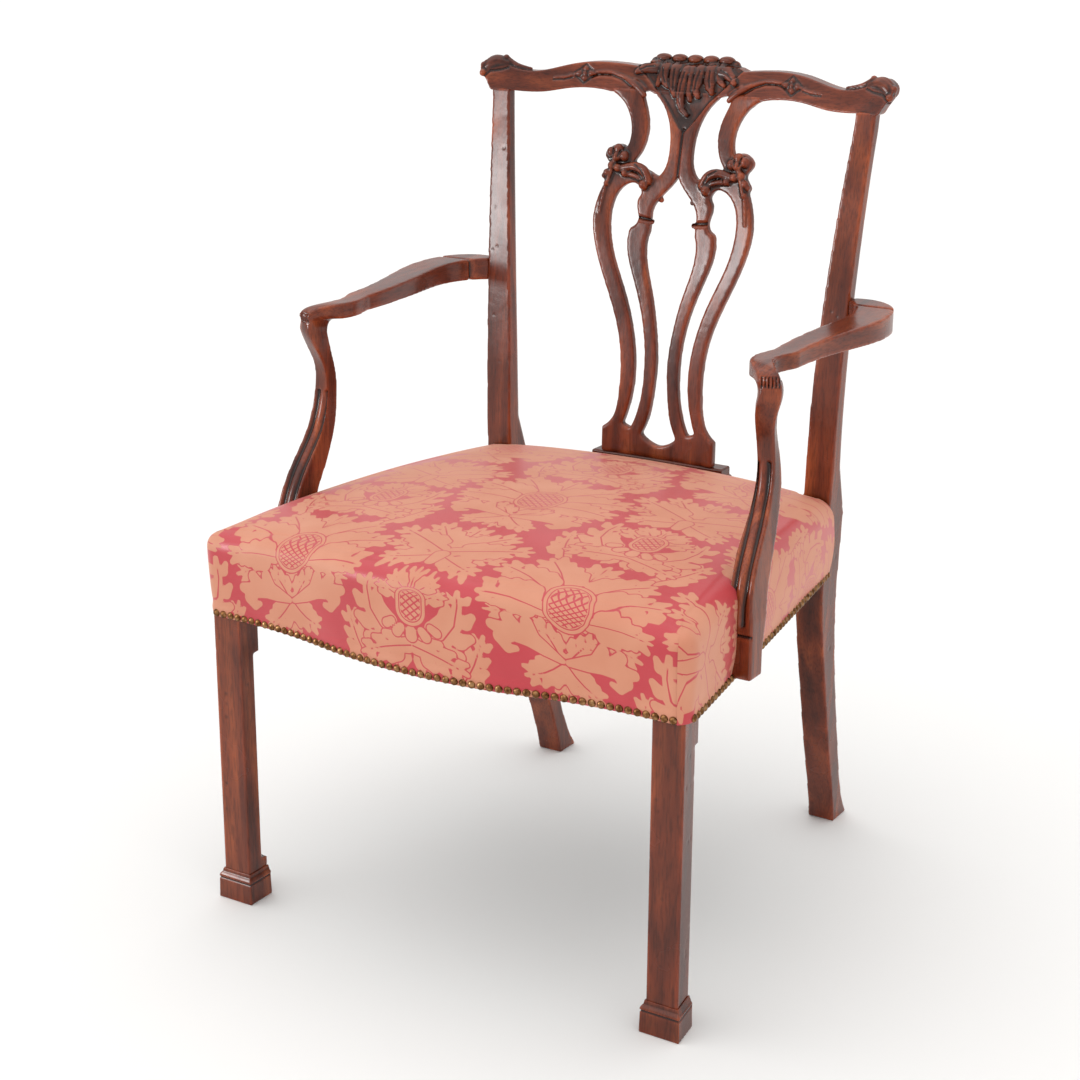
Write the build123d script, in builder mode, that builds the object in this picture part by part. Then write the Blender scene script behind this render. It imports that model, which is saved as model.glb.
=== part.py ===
# Library armchair: a mahogany frame with a pierced back, open arms and a stuffed, close-nailed seat.
# Millimetres. +Z is up, the chair faces -Y, and +X is to the right of someone looking at its front.
# The right-hand pieces are drawn, and the left-hand ones are their mirror images.
import os
from math import atan2, cos, sqrt

from build123d import *

os.makedirs("parts", exist_ok=True)

# Fits between pieces
clearance = 0.15  # each side of a tenon in its mortise
bottom_gap = 0.3  # past the end of a tenon or a screw
soft_gap = 0.3  # between upholstery and the wood it is fitted to
slot_gap = 1.3  # round the arm supports, where the cover is cut

# Seat frame, in plan a trapezium with a serpentine front
rail_bottom = 360.0
rail_height = 70.0
rail_thickness = 28.0
front_rail_inner = 30.0  # from the front faces of the legs back to the rail's flat inner face
front_bulge = 32.0  # how far the serpentine front swells forward
tenon_thickness = 9.0
tenon_length = 14.0
tenon_shoulder = 10.0  # left above and below each tenon
rear_rail_front = 178.0
rear_rail_thickness = 44.0
rear_tenon_set = 28.0  # from the rear rail's front to the middle of its tenons
rear_tenon_length = 13.0
brace_height = 36.0
brace_drop = 16.0  # below the top of the rails
brace_front_x = (188.0, 232.0)
brace_rear_x = (140.0, 180.0)
brace_side_reach = (44.0, 84.0)
screw_radius = 2.2
screw_head_radius = 4.2
screw_head_height = 2.5
screw_head_room = 30.0  # depth of the counterbore behind a screw's head
brace_screw_seat = 12.0  # wood left in a brace under a screw's head
brace_screw_length = 32.0

# Front legs: plain square legs on block feet
front_y = -292.0
leg_outer = 308.0
leg_width = 38.0
leg_depth = 34.0
leg_chamfer = 11.0
foot_projection = 5.0
foot_height = 27.0
foot_bevel_height = 10.0
foot_bevel_lip = 1.2
bracket_depth = 14.0
bracket_height = 38.0
bracket_width = 24.0
bracket_set_back = 2.5

# Rear posts: raked legs that carry on up as the uprights of the back
post_front = 187.2
post_straight_from = 350.0
post_straight_to = 440.0
post_rake_radius = 2790.0
post_foot_front = 289.0
post_foot_depth = 39.0
post_foot_inner = 190.0
post_foot_width = 35.0
post_seat_depth = 44.0
post_waist_z = 500.0
post_waist_inner = 209.8
post_waist_width = 35.8
post_top_inner = 235.5
post_top_width = 24.5
post_spread_power = 1.65  # how late the posts spread towards the crest
post_tenon = (11.0, 9.0, 13.0)
post_tenon_set = 11.5  # from the post's front to the middle of the tenon
# height as a share of the leg, lean as a share of the rake, depth
post_rake = [(0.13, 0.88, 27.0), (0.29, 0.685, 28.8), (0.57, 0.38, 31.5), (0.86, 0.09, 40.0)]
# share of the way from the waist to the crest, depth, rounding of the back
post_sections = [(0, 32.0, 14.5), (0.25, 29.0, 14.5), (0.5, 26.0, 13.0), (0.75, 23.0, 11.0), (1, 20.0, 8.5)]
post_seat_rounding = 1.5

# Back: splat and crest share one curved surface, raked in side view and bowed in plan
splat_bottom = 476.0
splat_height = 442.0
splat_thickness = 12.0
splat_foot_half = 79.0
splat_plinth = 32.0
splat_top_half = 104.0
splat_tenon_half = 57.85
splat_tenon_thickness = 6.0
splat_foot_tenon = 13.0
splat_top_tenon = 9.0
splat_top_tenons = [(-90.0, -70.0), (-25.0, 25.0), (70.0, 90.0)]
back_front = 200.7
back_rake_radius = 2000.0
back_rake_start = 440.0
crest_thickness = 20.0
crest_height = 49.0
crest_ear_drop = 11.0  # the crest's ends reach this far below its joint with the splat
cartouche_relief = 4.0
shoe_half_length = 97.0
shoe_front = 195.0
shoe_step = 4.5
shoe_step_height = 10.0
shoe_ovolo = 5.5

# Arms and their supports
arm_front_z = 674.0  # where the arm lies on its support
arm_post_rise = 2.5  # of the arm's underside, from there to the post
arm_post_thickness = 29.5
arm_front = -118.0
arm_neck_width = 15.5
arm_neck_set = 8.5  # from the post's front to the middle of the arm's neck
arm_tenon = (12.0, 9.0, 14.0)
support_top_out = 9.2  # the middle of the support's top, beyond the side of the seat frame
support_width = 27.0
support_block_out = 17.5  # the block's outer face from the middle of the support's top
support_notch_in = 15.5  # the shoulder over the rail, from the same middle
support_bottom = 366.0
support_front = -165.0
support_depth = 29.0
support_tenon = (12.0, 11.0, 9.0)
support_head_set = 60.0  # from the block's front back to the middle of the tenon
support_heel_radius = 10.0
support_screw_y = -150.0
support_screw_z = (385.0, 412.0)
support_screw_length = 42.0

# Upholstery
cover_thickness = 5.0
cover_bottom = 361.0
cover_rear_rise = 8.0  # the nailed edge climbs this far towards the posts
cover_band = 18.0  # upright strip that the nails go through
cover_flare = 6.0  # degrees by which the sides lean out above it
cover_corner_radius = 12.0
cover_top_radius = 14.0
crown_z = 490.0
crown_y = -60.0
crown_radius = 2400.0
webbing_width = 50.0
webbing_thickness = 1.5
webbing_landing = 14.0
fore_aft_x = (-160.0, -80.0, 0.0, 80.0, 160.0)
cross_y = (-210.0, -120.0, -30.0, 60.0, 140.0)
hessian_thickness = 1.2
hessian_inset = 6.0
bottom_cloth_thickness = 1.0
bottom_cloth_inset = 7.0
nail_pitch = 12.5
nail_radius = 4.6
nail_height = 2.8
nail_slope = 38.0  # degrees, from upright
nail_rise = 4.2  # above the cover's lower edge

# Places that follow from those sizes
rail_top = rail_bottom + rail_height
rail_mid = rail_thickness / 2
leg_inner = leg_outer - leg_width
leg_back = front_y + leg_depth
front_rail_back = front_y + front_rail_inner
rear_rail_back = rear_rail_front + rear_rail_thickness
post_seat_back = post_front + post_seat_depth
crest_joint = splat_bottom + splat_height
arm_post_z = arm_front_z + arm_post_rise
post_top = crest_joint - crest_ear_drop
post_waist_outer = post_waist_inner + post_waist_width
post_top_outer = post_top_inner + post_top_width
behind = post_foot_front + post_foot_depth + leg_width
beside = leg_outer + leg_width

standing = (Align.CENTER, Align.CENTER, Align.MIN)
hanging = (Align.CENTER, Align.CENTER, Align.MAX)


def post_inner(z):
    """Inner edge of a post below its waist, where it is straight."""
    return post_foot_inner + (post_waist_inner - post_foot_inner) * z / post_waist_z


def post_outer(z):
    """Outer edge of a post below its waist."""
    return post_inner(z) + post_foot_width + (post_waist_width - post_foot_width) * z / post_waist_z


def arc_depth(radius, rise):
    """How far a circular curve has left its tangent after rising this far."""
    return radius - sqrt(radius**2 - rise**2)


def post_face(z):
    """Front of a post above the seat."""
    return post_front + arc_depth(post_rake_radius, z - post_straight_to)


def back_face(z):
    """Front of the splat and crest on the centre line."""
    return back_front + arc_depth(back_rake_radius, z - back_rake_start)


rail_rear_outer = post_outer(rail_bottom + rail_height / 2)
side_slope = (rail_rear_outer - leg_outer) / (post_front - front_y)
side_angle = atan2(leg_outer - rail_rear_outer, post_front - front_y)


def side_x(y, inset=0.0):
    """The side of the seat frame at y, or a line set in from it."""
    return leg_outer + side_slope * (y - front_y) - inset / cos(side_angle)


support_top_x = side_x(support_front) + support_top_out

# The crest's ends lie flush with the posts, and that sets how much the back is bowed
crest_end_x = post_top_inner + post_top_width / 2
back_bow = back_face(post_top) - post_face(post_top)
bow_radius = (crest_end_x**2 + back_bow**2) / (2 * back_bow)
bow_axis_y = back_face(post_top) - bow_radius


def bowed_y(x, z):
    """Front of the back at a place away from the centre line."""
    return bow_axis_y + sqrt((back_face(z) - bow_axis_y) ** 2 - x**2)


def write(part, name):
    part.label = name
    export_step(part, f"parts/{name}.step")


def write_pair(part, name):
    """Writes the right-hand piece and its mirror image."""
    write(part, f"{name}_right")
    write(mirror(part, about=Plane.YZ), f"{name}_left")


def both_sides(parts):
    """The right-hand parts with their mirror images, as one group."""
    return Compound(children=parts + [mirror(part, about=Plane.YZ) for part in parts])


def box(x, y, z, mode=Mode.ADD):
    """A block between two limits on each axis, inside the open part."""
    with Locations((sum(x) / 2, sum(y) / 2, sum(z) / 2)):
        Box(x[1] - x[0], y[1] - y[0], z[1] - z[0], mode=mode)


def grown(limits, gap):
    return (limits[0] - gap, limits[1] + gap)


def centred(middle, size):
    return (middle - size / 2, middle + size / 2)


def side_strip(y, inset):
    """Plan of a strip along the side of the seat frame, between two insets from its face."""
    Polygon(
        (side_x(y[0], inset[0]), y[0]),
        (side_x(y[1], inset[0]), y[1]),
        (side_x(y[1], inset[1]), y[1]),
        (side_x(y[0], inset[1]), y[0]),
        align=None,
    )


def serpentine(y):
    """Half of the seat's serpentine front, from the middle to the front leg, in the open line."""
    swell = TangentArc((0, y - front_bulge), (leg_inner / 2, y - front_bulge / 2), tangent=(1, 0))
    return TangentArc(swell @ 1, (leg_inner, y), tangent=swell % 1)


def drill(place, length):
    """A screw's hole in the open part, with a counterbore behind the place where its head seats."""
    with Locations(place):
        Cylinder(screw_radius + clearance, length + bottom_gap, align=standing, mode=Mode.SUBTRACT)
        Cylinder(screw_head_radius + clearance, screw_head_room, align=hanging, mode=Mode.SUBTRACT)


def screw(place, length):
    """A wood screw with the underside of its head at this place."""
    with BuildPart() as made:
        with Locations(place):
            Cylinder(screw_radius, length, align=standing)
            Cylinder(screw_head_radius, screw_head_height, align=hanging)
    return made.part


# Where the tenons and screws of the seat frame go
tenon_z = (rail_bottom + tenon_shoulder, rail_top - tenon_shoulder)
front_tenon_y = centred(front_y + rail_mid, tenon_thickness)
side_tenon_inset = centred(rail_mid, tenon_thickness)
rear_tenon_y = centred(rear_rail_front + rear_tenon_set, tenon_thickness)
rear_tenon_end = post_inner(tenon_z[1]) + rear_tenon_length
brace_z = (rail_top - brace_drop - brace_height, rail_top - brace_drop)
brace_mid = sum(brace_z) / 2
front_brace = (front_rail_back, brace_front_x, 1)
rear_brace = (rear_rail_front, brace_rear_x, -1)


def cross_screws(rail_face, rail_x, away):
    """Places of the screws that hold a pair of braces to the front or rear rail."""
    middle = sum(rail_x) / 2
    return [
        Plane(origin=(x, rail_face + away * brace_screw_seat, brace_mid), z_dir=(0, -away, 0))
        for x in (middle, -middle)
    ]


def side_screw(rail_face, away):
    """Place of the screw that holds a right-hand brace to the side rail."""
    y = rail_face + away * sum(brace_side_reach) / 2
    return Plane(origin=(side_x(y, rail_thickness) - brace_screw_seat, y, brace_mid), z_dir=(1, 0, 0))


support_screw_x = side_x(support_screw_y, rail_thickness) + screw_head_height
support_screws = [
    Plane(origin=(support_screw_x, support_screw_y, z), z_dir=(1, 0, 0)) for z in support_screw_z
]

# Front legs, square with the outer face along the side rail and a stopped chamfer inside
leg_corners = [
    (leg_inner, front_y),
    (leg_outer, front_y),
    (side_x(leg_back), leg_back),
    (leg_inner, leg_back),
]
chamfer_from = foot_height + foot_bevel_height + leg_chamfer
chamfer_to = rail_bottom - bracket_height - leg_chamfer

with BuildPart() as front_leg:
    with BuildSketch():
        Polygon(*leg_corners, align=None)
    extrude(amount=rail_top)
    with BuildSketch(Plane.XY.offset(chamfer_from)):
        Polygon(
            (leg_inner, leg_back),
            (leg_inner + leg_chamfer, leg_back),
            (leg_inner, leg_back - leg_chamfer),
            align=None,
        )
    extrude(amount=chamfer_to - chamfer_from, mode=Mode.SUBTRACT)
    box(
        (leg_inner - leg_width, leg_inner + tenon_length + bottom_gap),
        grown(front_tenon_y, clearance),
        grown(tenon_z, clearance),
        Mode.SUBTRACT,
    )
    with BuildSketch(Plane.XY.offset(tenon_z[0] - clearance)):
        side_strip(
            (leg_back - tenon_length - bottom_gap, leg_back + leg_depth),
            grown(side_tenon_inset, clearance),
        )
    extrude(amount=tenon_z[1] - tenon_z[0] + 2 * clearance, mode=Mode.SUBTRACT)
write_pair(front_leg.part, "front_leg")


# Block feet: facings mitred round the front and sides of each front leg
def foot_corner(index, reach):
    """A corner of the leg, or of a line round its front and sides at this reach."""
    x, y = leg_corners[index % len(leg_corners)]
    return (x + (reach if x > leg_inner else -reach), y - (0 if y > front_y else reach))


def facing_plan(index, reach):
    """Plan of one facing, from the leg's face out to this reach."""
    ends = [(index, 0), (index + 1, 0), (index + 1, reach), (index, reach)]
    Polygon(*[foot_corner(*end) for end in ends], align=None)


facings = []
for index in (0, 1, 3):
    with BuildPart() as facing:
        with BuildSketch():
            facing_plan(index, foot_projection)
        extrude(amount=foot_height)
        with BuildSketch(Plane.XY.offset(foot_height)):
            facing_plan(index, foot_projection)
        with BuildSketch(Plane.XY.offset(foot_height + foot_bevel_height)):
            facing_plan(index, foot_bevel_lip)
        loft(ruled=True)
    facings.append(facing.part)
write_pair(Compound(children=facings), "foot_facings")

# Bracket glued behind the right front leg, under the side rail
with BuildPart() as leg_bracket:
    with BuildSketch(Plane.XY.offset(rail_bottom - bracket_height)):
        side_strip(
            (leg_back, leg_back + bracket_depth),
            (bracket_set_back, bracket_set_back + bracket_width),
        )
    extrude(amount=bracket_height)
write(leg_bracket.part, "leg_bracket_right")


# Rear posts: drawn in side view, then cut to the front view
def spread(start, end, share):
    """A point on a post's edge above the waist, in front view."""
    across = start + (end - start) * share**post_spread_power
    return (across, post_waist_z + (post_top - post_waist_z) * share)


def post_edge(start, end):
    """A post's edge from the waist to the crest, in the open line."""
    return Spline(*[spread(start, end, share) for share in (0, 0.25, 0.5, 0.75, 1)])


def post_section(z, inner, outer, depth, rounding):
    """Plan of a post above the seat: square in front, with its back corners rounded."""
    with BuildSketch(Plane.XY.offset(z)) as plan:
        Polygon(
            (inner, post_face(z)),
            (outer, post_face(z)),
            (outer, post_face(z) + depth),
            (inner, post_face(z) + depth),
            align=None,
        )
        fillet(plan.vertices().group_by(Axis.Y)[-1], radius=rounding)
    return plan.sketch.face()


rake = post_foot_front - post_front
shin_points = [(post_front + rake * lean, post_straight_from * rise) for rise, lean, _ in post_rake]
calf_points = [(y + depth, z) for (y, z), (_, _, depth) in zip(shin_points, post_rake)]
upright = []
for share, depth, rounding in post_sections:
    inner, z = spread(post_waist_inner, post_top_inner, share)
    outer, z = spread(post_waist_outer, post_top_outer, share)
    upright.append(post_section(z, inner, outer, depth, rounding))
seat_inner = post_inner(post_straight_to)
seat_outer = post_outer(post_straight_to)
seat_section = post_section(post_straight_to, seat_inner, seat_outer, post_seat_depth, post_seat_rounding)
post_tenon_y = post_face(post_top) + post_tenon_set

arm_mid_z = arm_post_z + arm_post_thickness / 2
arm_share = (arm_mid_z - post_waist_z) / (post_top - post_waist_z)
arm_end_x = spread(post_waist_outer, post_top_outer, arm_share)[0]
arm_neck_y = post_face(arm_mid_z) + arm_neck_set
arm_tenon_y = centred(arm_neck_y, arm_tenon[1])
arm_tenon_z = centred(arm_mid_z, arm_tenon[2])

with BuildPart() as rear_post:
    with BuildSketch(Plane.YZ):
        with BuildLine():
            shin = Spline((post_foot_front, 0), *shin_points, (post_front, post_straight_from))
            seat_front = Line(shin @ 1, (post_front, post_straight_to))
            top = Line(seat_front @ 1, (post_seat_back, post_straight_to))
            seat_back = Line(top @ 1, (post_seat_back, post_straight_from))
            calf = Spline(seat_back @ 1, *calf_points[::-1], (post_foot_front + post_foot_depth, 0))
            Line(calf @ 1, shin @ 0)
        make_face()
    extrude(amount=beside)
    with BuildSketch(Plane.XZ.offset(-behind)):
        Polygon(
            (post_foot_inner, 0),
            (post_foot_inner + post_foot_width, 0),
            (seat_outer, post_straight_to),
            (seat_inner, post_straight_to),
            align=None,
        )
    extrude(amount=behind, mode=Mode.INTERSECT)
    loft([seat_section, upright[0]], ruled=True)
    loft(upright)
    box(
        centred(crest_end_x, post_tenon[0]),
        centred(post_tenon_y, post_tenon[1]),
        (post_top - post_tenon[2], post_top + post_tenon[2]),
    )
    with BuildSketch(Plane.XY.offset(tenon_z[0] - clearance)):
        side_strip(
            (post_front - tenon_length, post_front + tenon_length + bottom_gap),
            grown(side_tenon_inset, clearance),
        )
    extrude(amount=tenon_z[1] - tenon_z[0] + 2 * clearance, mode=Mode.SUBTRACT)
    box(
        (post_foot_inner - leg_width, rear_tenon_end + bottom_gap),
        grown(rear_tenon_y, clearance),
        grown(tenon_z, clearance),
        Mode.SUBTRACT,
    )
    box(
        (arm_end_x - arm_tenon[0] - bottom_gap, beside),
        grown(arm_tenon_y, clearance),
        grown(arm_tenon_z, clearance),
        Mode.SUBTRACT,
    )
write_pair(rear_post.part, "rear_post")

# Seat rails, tenoned into the legs and posts
with BuildPart() as front_rail:
    with BuildSketch(Plane.XY.offset(rail_bottom)):
        with BuildLine():
            hollow = serpentine(front_y)
            shoulder = Line(hollow @ 1, (leg_inner, front_rail_back))
            Line(shoulder @ 1, (0, front_rail_back))
            mirror(about=Plane.YZ)
        make_face()
    extrude(amount=rail_height)
    box((-leg_inner - tenon_length, leg_inner + tenon_length), front_tenon_y, tenon_z)
    for place in cross_screws(*front_brace):
        drill(place, brace_screw_length)
write(front_rail.part, "front_rail")

with BuildPart() as side_rail:
    with BuildSketch(Plane.XY.offset(rail_bottom)):
        side_strip((leg_back, post_front), (0, rail_thickness))
    extrude(amount=rail_height)
    with BuildSketch(Plane.XY.offset(tenon_z[0])):
        side_strip((leg_back - tenon_length, post_front + tenon_length), side_tenon_inset)
    extrude(amount=tenon_z[1] - tenon_z[0])
    for rail_face, _, away in (front_brace, rear_brace):
        drill(side_screw(rail_face, away), brace_screw_length)
    for place in support_screws:
        drill(place, support_screw_length)
write_pair(side_rail.part, "side_rail")

with BuildPart() as rear_rail:
    with BuildSketch(Plane.XZ.offset(-rear_rail_back)):
        Polygon(
            (-post_inner(rail_bottom), rail_bottom),
            (post_inner(rail_bottom), rail_bottom),
            (post_inner(rail_top), rail_top),
            (-post_inner(rail_top), rail_top),
            align=None,
        )
    extrude(amount=rear_rail_thickness)
    box((-rear_tenon_end, rear_tenon_end), rear_tenon_y, tenon_z)
    for place in cross_screws(*rear_brace):
        drill(place, brace_screw_length)
write(rear_rail.part, "rear_rail")

# Corner braces, screwed across the inside corners of the seat frame
screws = []
for name, (rail_face, rail_x, away) in (("front", front_brace), ("rear", rear_brace)):
    side_y = [rail_face + away * reach for reach in brace_side_reach]
    places = [cross_screws(rail_face, rail_x, away)[0], side_screw(rail_face, away)]
    with BuildPart() as corner_brace:
        with BuildSketch(Plane.XY.offset(brace_z[0])):
            Polygon(
                (rail_x[0], rail_face),
                (rail_x[1], rail_face),
                (side_x(side_y[0], rail_thickness), side_y[0]),
                (side_x(side_y[1], rail_thickness), side_y[1]),
                align=None,
            )
        extrude(amount=brace_height)
        for place in places:
            drill(place, brace_screw_length)
    write_pair(corner_brace.part, f"{name}_corner_brace")
    screws += [screw(place, brace_screw_length) for place in places]
write(both_sides(screws), "brace_screws")

# Shoe: the moulded block on the rear rail that the splat stands in
shoe_ledge = splat_bottom - shoe_step_height
shoe_mid_y = back_face(splat_bottom) + splat_thickness / 2

with BuildPart() as shoe:
    box((-shoe_half_length, shoe_half_length), (shoe_front, rear_rail_back), (rail_top, shoe_ledge))
    fillet(shoe.edges().group_by(Axis.Z)[-1].sort_by(Axis.Y)[:-1], radius=shoe_ovolo)
    box(
        (-shoe_half_length + shoe_step, shoe_half_length - shoe_step),
        (shoe_front + shoe_step, rear_rail_back),
        (rail_top, splat_bottom),
    )
    chamfer(shoe.edges().group_by(Axis.Z)[-1].sort_by(Axis.Y)[:-1], length=shoe_step / 3)
    box(
        grown((-splat_tenon_half, splat_tenon_half), clearance),
        grown(centred(shoe_mid_y, splat_tenon_thickness), clearance),
        (splat_bottom - splat_foot_tenon - bottom_gap, splat_bottom + shoe_step),
        Mode.SUBTRACT,
    )
write(shoe.part, "shoe")


# Splat and crest are cut from curved boards: a strip in side view, turned about the axis of the bow
def board(front, back):
    """A ring whose near side is the back's curved board, between two depths behind its face."""
    heights = [back_rake_start, (back_rake_start + crest_joint) / 2, crest_joint + 2 * crest_height]
    with BuildPart() as ring:
        with BuildSketch(Plane(origin=(0, bow_axis_y, 0), x_dir=(1, 0, 0), z_dir=(0, -1, 0))):
            with BuildLine():
                near = ThreePointArc(*[(back_face(z) - bow_axis_y + front, z) for z in heights])
                far = ThreePointArc(*[(back_face(z) - bow_axis_y + back, z) for z in heights])
                Line(near @ 0, far @ 0)
                Line(near @ 1, far @ 1)
            make_face()
        revolve(axis=Axis((0, bow_axis_y, 0), (0, 0, 1)))
    return ring.part


# Half outline of the splat: x from the centre line, and the share of its height
outer_edge = [
    (66, 0.0995), (58, 0.1719), (57, 0.2353), (61, 0.3258), (73.5, 0.4163), (91, 0.5068),
    (105.5, 0.5973), (109.5, 0.6561), (106.5, 0.7081), (98, 0.7579),
]
rosette = [(101, 0.7692), (93, 0.7986), (101.5, 0.8303), (93, 0.8552), (74, 0.8507)]
scroll_outer = [(70, 0.8914), (74.5, 0.9367), (89, 0.9819), (splat_top_half, 1)]
# Side opening, up its inner edge and over to its outer edge
lane_inner = [
    (40, 0.0769), (29, 0.1448), (24, 0.2353), (26, 0.3258), (34.5, 0.4163), (49, 0.5068),
    (60.2, 0.595), (58, 0.638),
]
lane_knuckle = [(48, 0.6697), (51, 0.6946), (46.5, 0.7308)]
lane_head = [(59, 0.759), (73, 0.7466), (84, 0.7104), (87.5, 0.6516)]
lane_outer = [
    (78, 0.552), (60.5, 0.4615), (46.5, 0.371), (39, 0.2805), (38.3, 0.2172), (43, 0.1448),
    (51.5, 0.086),
]
# Middle opening, from its foot up to the crossing of the ribbons
middle_foot = [(0, 0.0351), (12.5, 0.0435), (25, 0.0633)]
middle_edge = [
    (17.5, 0.0995), (10, 0.19), (8, 0.2715), (13, 0.371), (22, 0.4615), (33.5, 0.552),
    (34.5, 0.6109),
]
middle_knuckle = [(31.5, 0.6652), (31, 0.6878), (22.5, 0.7217), (0, 0.7873)]
# Upper opening, between the stem and the C-scroll
stem_edge = [(27, 0.7805), (18, 0.81), (15.5, 0.8507), (18, 0.905), (27.5, 0.9593), (46, 1.0023)]
scroll_inner = [(60, 1.0023), (54.5, 0.9593), (48.7, 0.9005), (51, 0.862), (63, 0.8145)]


def placed(points):
    return [(x, splat_bottom + share * splat_height) for x, share in points]


def smooth_runs(start, runs):
    """Smooth curves through each run of points, joined end to end in the open line."""
    last = start
    for run in runs:
        points = [last, *placed(run)]
        Spline(*points)
        last = points[-1]
    return last


splat_top_mid = splat_thickness / 2 + splat_tenon_thickness / 4


def top_tenon(x, gap, mode):
    """A tenon of the splat's top edge in the open part, or the mortise for it."""
    middle = bowed_y(sum(x) / 2, crest_joint) + splat_top_mid
    box(
        grown(x, gap),
        grown(centred(middle, splat_tenon_thickness), gap),
        (crest_joint - splat_top_tenon, crest_joint + splat_top_tenon + 2 * gap),
        mode,
    )


with BuildPart() as splat:
    with BuildSketch(Plane.XZ.offset(-behind)):
        with BuildLine():
            plinth = Polyline(
                (0, splat_bottom),
                (splat_foot_half, splat_bottom),
                (splat_foot_half, splat_bottom + splat_plinth),
            )
            end = smooth_runs(plinth @ 1, [outer_edge, rosette, scroll_outer])
            Polyline(end, (0, crest_joint), (0, splat_bottom))
        make_face()
        for start, edges in (
            (lane_inner[0], [lane_inner[1:], lane_knuckle, lane_head + lane_outer]),
            (stem_edge[0], [stem_edge[1:], scroll_inner]),
        ):
            with BuildLine():
                Line(smooth_runs(placed([start])[0], edges), placed([start])[0])
            make_face(mode=Mode.SUBTRACT)
        with BuildLine():
            foot_cusp = Spline(*placed(middle_foot))
            crossing = smooth_runs(foot_cusp @ 1, [middle_edge, middle_knuckle])
            Line(crossing, foot_cusp @ 0)
        make_face(mode=Mode.SUBTRACT)
        mirror(about=Plane.YZ)
    extrude(amount=behind)
    add(board(0, splat_thickness), mode=Mode.INTERSECT)
    box(
        (-splat_tenon_half, splat_tenon_half),
        centred(shoe_mid_y, splat_tenon_thickness),
        (splat_bottom - splat_foot_tenon, splat_bottom + splat_foot_tenon / 3),
    )
    for x in splat_top_tenons:
        top_tenon(x, 0, Mode.ADD)
write(splat.part, "splat")

# Crest rail: a serpentine rail with carved ears and a raised block for the cartouche.
# Half outline: share of the way to the middle of the post's joint, and height above the splat's joint.
crest_arch = [(0.1833, 0), (0.2159, 3), (0.2525, 0)]
crest_under = [
    (0.4684, 2), (0.5295, 3), (0.611, 2.5), (0.6925, -0.5), (0.7739, -4), (0.8554, -5), (0.945, -4),
]
ear = [(1.058, -6), (1.1018, 12), (1.1263, 24), (1.0957, 33), (1.0265, 32)]
crest_over = [
    (0.9491, 23.5), (0.8635, 20.4), (0.7739, 23), (0.6517, 30.5), (0.5295, 34.5), (0.4073, 34.3),
    (0.2933, 32),
]
cartouche_top = [(0.2648, 36), (0.2322, 41), (0.1996, 46.5), (0.1629, crest_height)]
cartouche_foot = [(0.2118, 14), (0.0815, 0)]


def crest_points(points):
    return [(share * crest_end_x, crest_joint + z) for share, z in points]


with BuildPart() as crest_rail:
    with BuildSketch(Plane.XZ.offset(-behind)):
        with BuildLine():
            arch = ThreePointArc(*crest_points(crest_arch))
            Line((0, crest_joint), arch @ 0)
            level = Line(arch @ 1, (splat_top_half, crest_joint))
            under = Spline(level @ 1, *crest_points(crest_under))
            joint = Polyline(under @ 1, (post_top_inner, post_top), (post_top_outer, post_top))
            ear_curve = Spline(joint @ 1, *crest_points(ear))
            over = Spline(ear_curve @ 1, *crest_points(crest_over))
            rim = Spline(over @ 1, *crest_points(cartouche_top))
            Polyline(rim @ 1, (0, crest_joint + crest_height), (0, crest_joint))
        make_face()
        mirror(about=Plane.YZ)
    extrude(amount=behind)
    add(board(0, crest_thickness), mode=Mode.INTERSECT)
    with BuildSketch(Plane.XZ.offset(-behind)) as cartouche:
        with BuildLine():
            rim = Spline(*crest_points([crest_over[-1]] + cartouche_top))
            Line(rim @ 1, (0, crest_joint + crest_height))
            flank = Spline(rim @ 0, *crest_points(cartouche_foot))
            Polyline(flank @ 1, (0, crest_joint), (0, crest_joint + crest_height))
        make_face()
        mirror(about=Plane.YZ)
    block = extrude(amount=behind, mode=Mode.PRIVATE)
    raised = board(-cartouche_relief, crest_thickness)
    add(block & raised)
    for x in splat_top_tenons:
        top_tenon(x, clearance, Mode.SUBTRACT)
    for side in (-1, 1):
        box(
            grown(centred(side * crest_end_x, post_tenon[0]), clearance),
            grown(centred(post_tenon_y, post_tenon[1]), clearance),
            (post_top - post_tenon[2], post_top + post_tenon[2] + bottom_gap),
            Mode.SUBTRACT,
        )
write(crest_rail.part, "crest_rail")

# Arms: flat shaped paddles tenoned into the posts and lying on their supports.
# Plan: share of the way from the front end to the neck, and distance out from the line between them.
arm_inner_plan = [
    (0, -13.5), (0.09, -17), (0.24, -19.5), (0.42, -11.7), (0.61, 3), (0.75, 15.4), (0.87, 17),
]
arm_outer_plan = [
    (1.01, 42), (0.95, 57), (0.85, 62), (0.76, 59), (0.61, 44), (0.42, 22), (0.24, 9.5), (0, 13.5),
]
# Side view: the same share, and height above the underside at the front
arm_over = [(0.68, 26.5), (0.4, 22), (0.18, 19), (0.06, 17), (0.015, 12), (0, 4)]
arm_under = [(0.105, 0), (0.24, 1), (0.55, 3), (0.8, 3.5)]


def arm_plan(share, out):
    """A place in plan beside the line from the support's top to the arm's neck."""
    x = support_top_x + (arm_end_x - support_top_x) * share + out
    return (x, arm_front + (arm_neck_y - arm_front) * share)


def arm_side(share, rise):
    return (arm_front + (arm_neck_y - arm_front) * share, arm_front_z + rise)


neck_y = centred(arm_neck_y, arm_neck_width)
support_tenon_y = centred(support_front + support_head_set, support_tenon[1])


def support_joint(gap, mode):
    """The tenon of the support's top in the open part, or the mortise for it."""
    box(
        grown(centred(support_top_x, support_tenon[0]), gap),
        grown(support_tenon_y, gap),
        (arm_front_z - support_tenon[2] / 3, arm_front_z + support_tenon[2] + 2 * gap),
        mode,
    )


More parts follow.
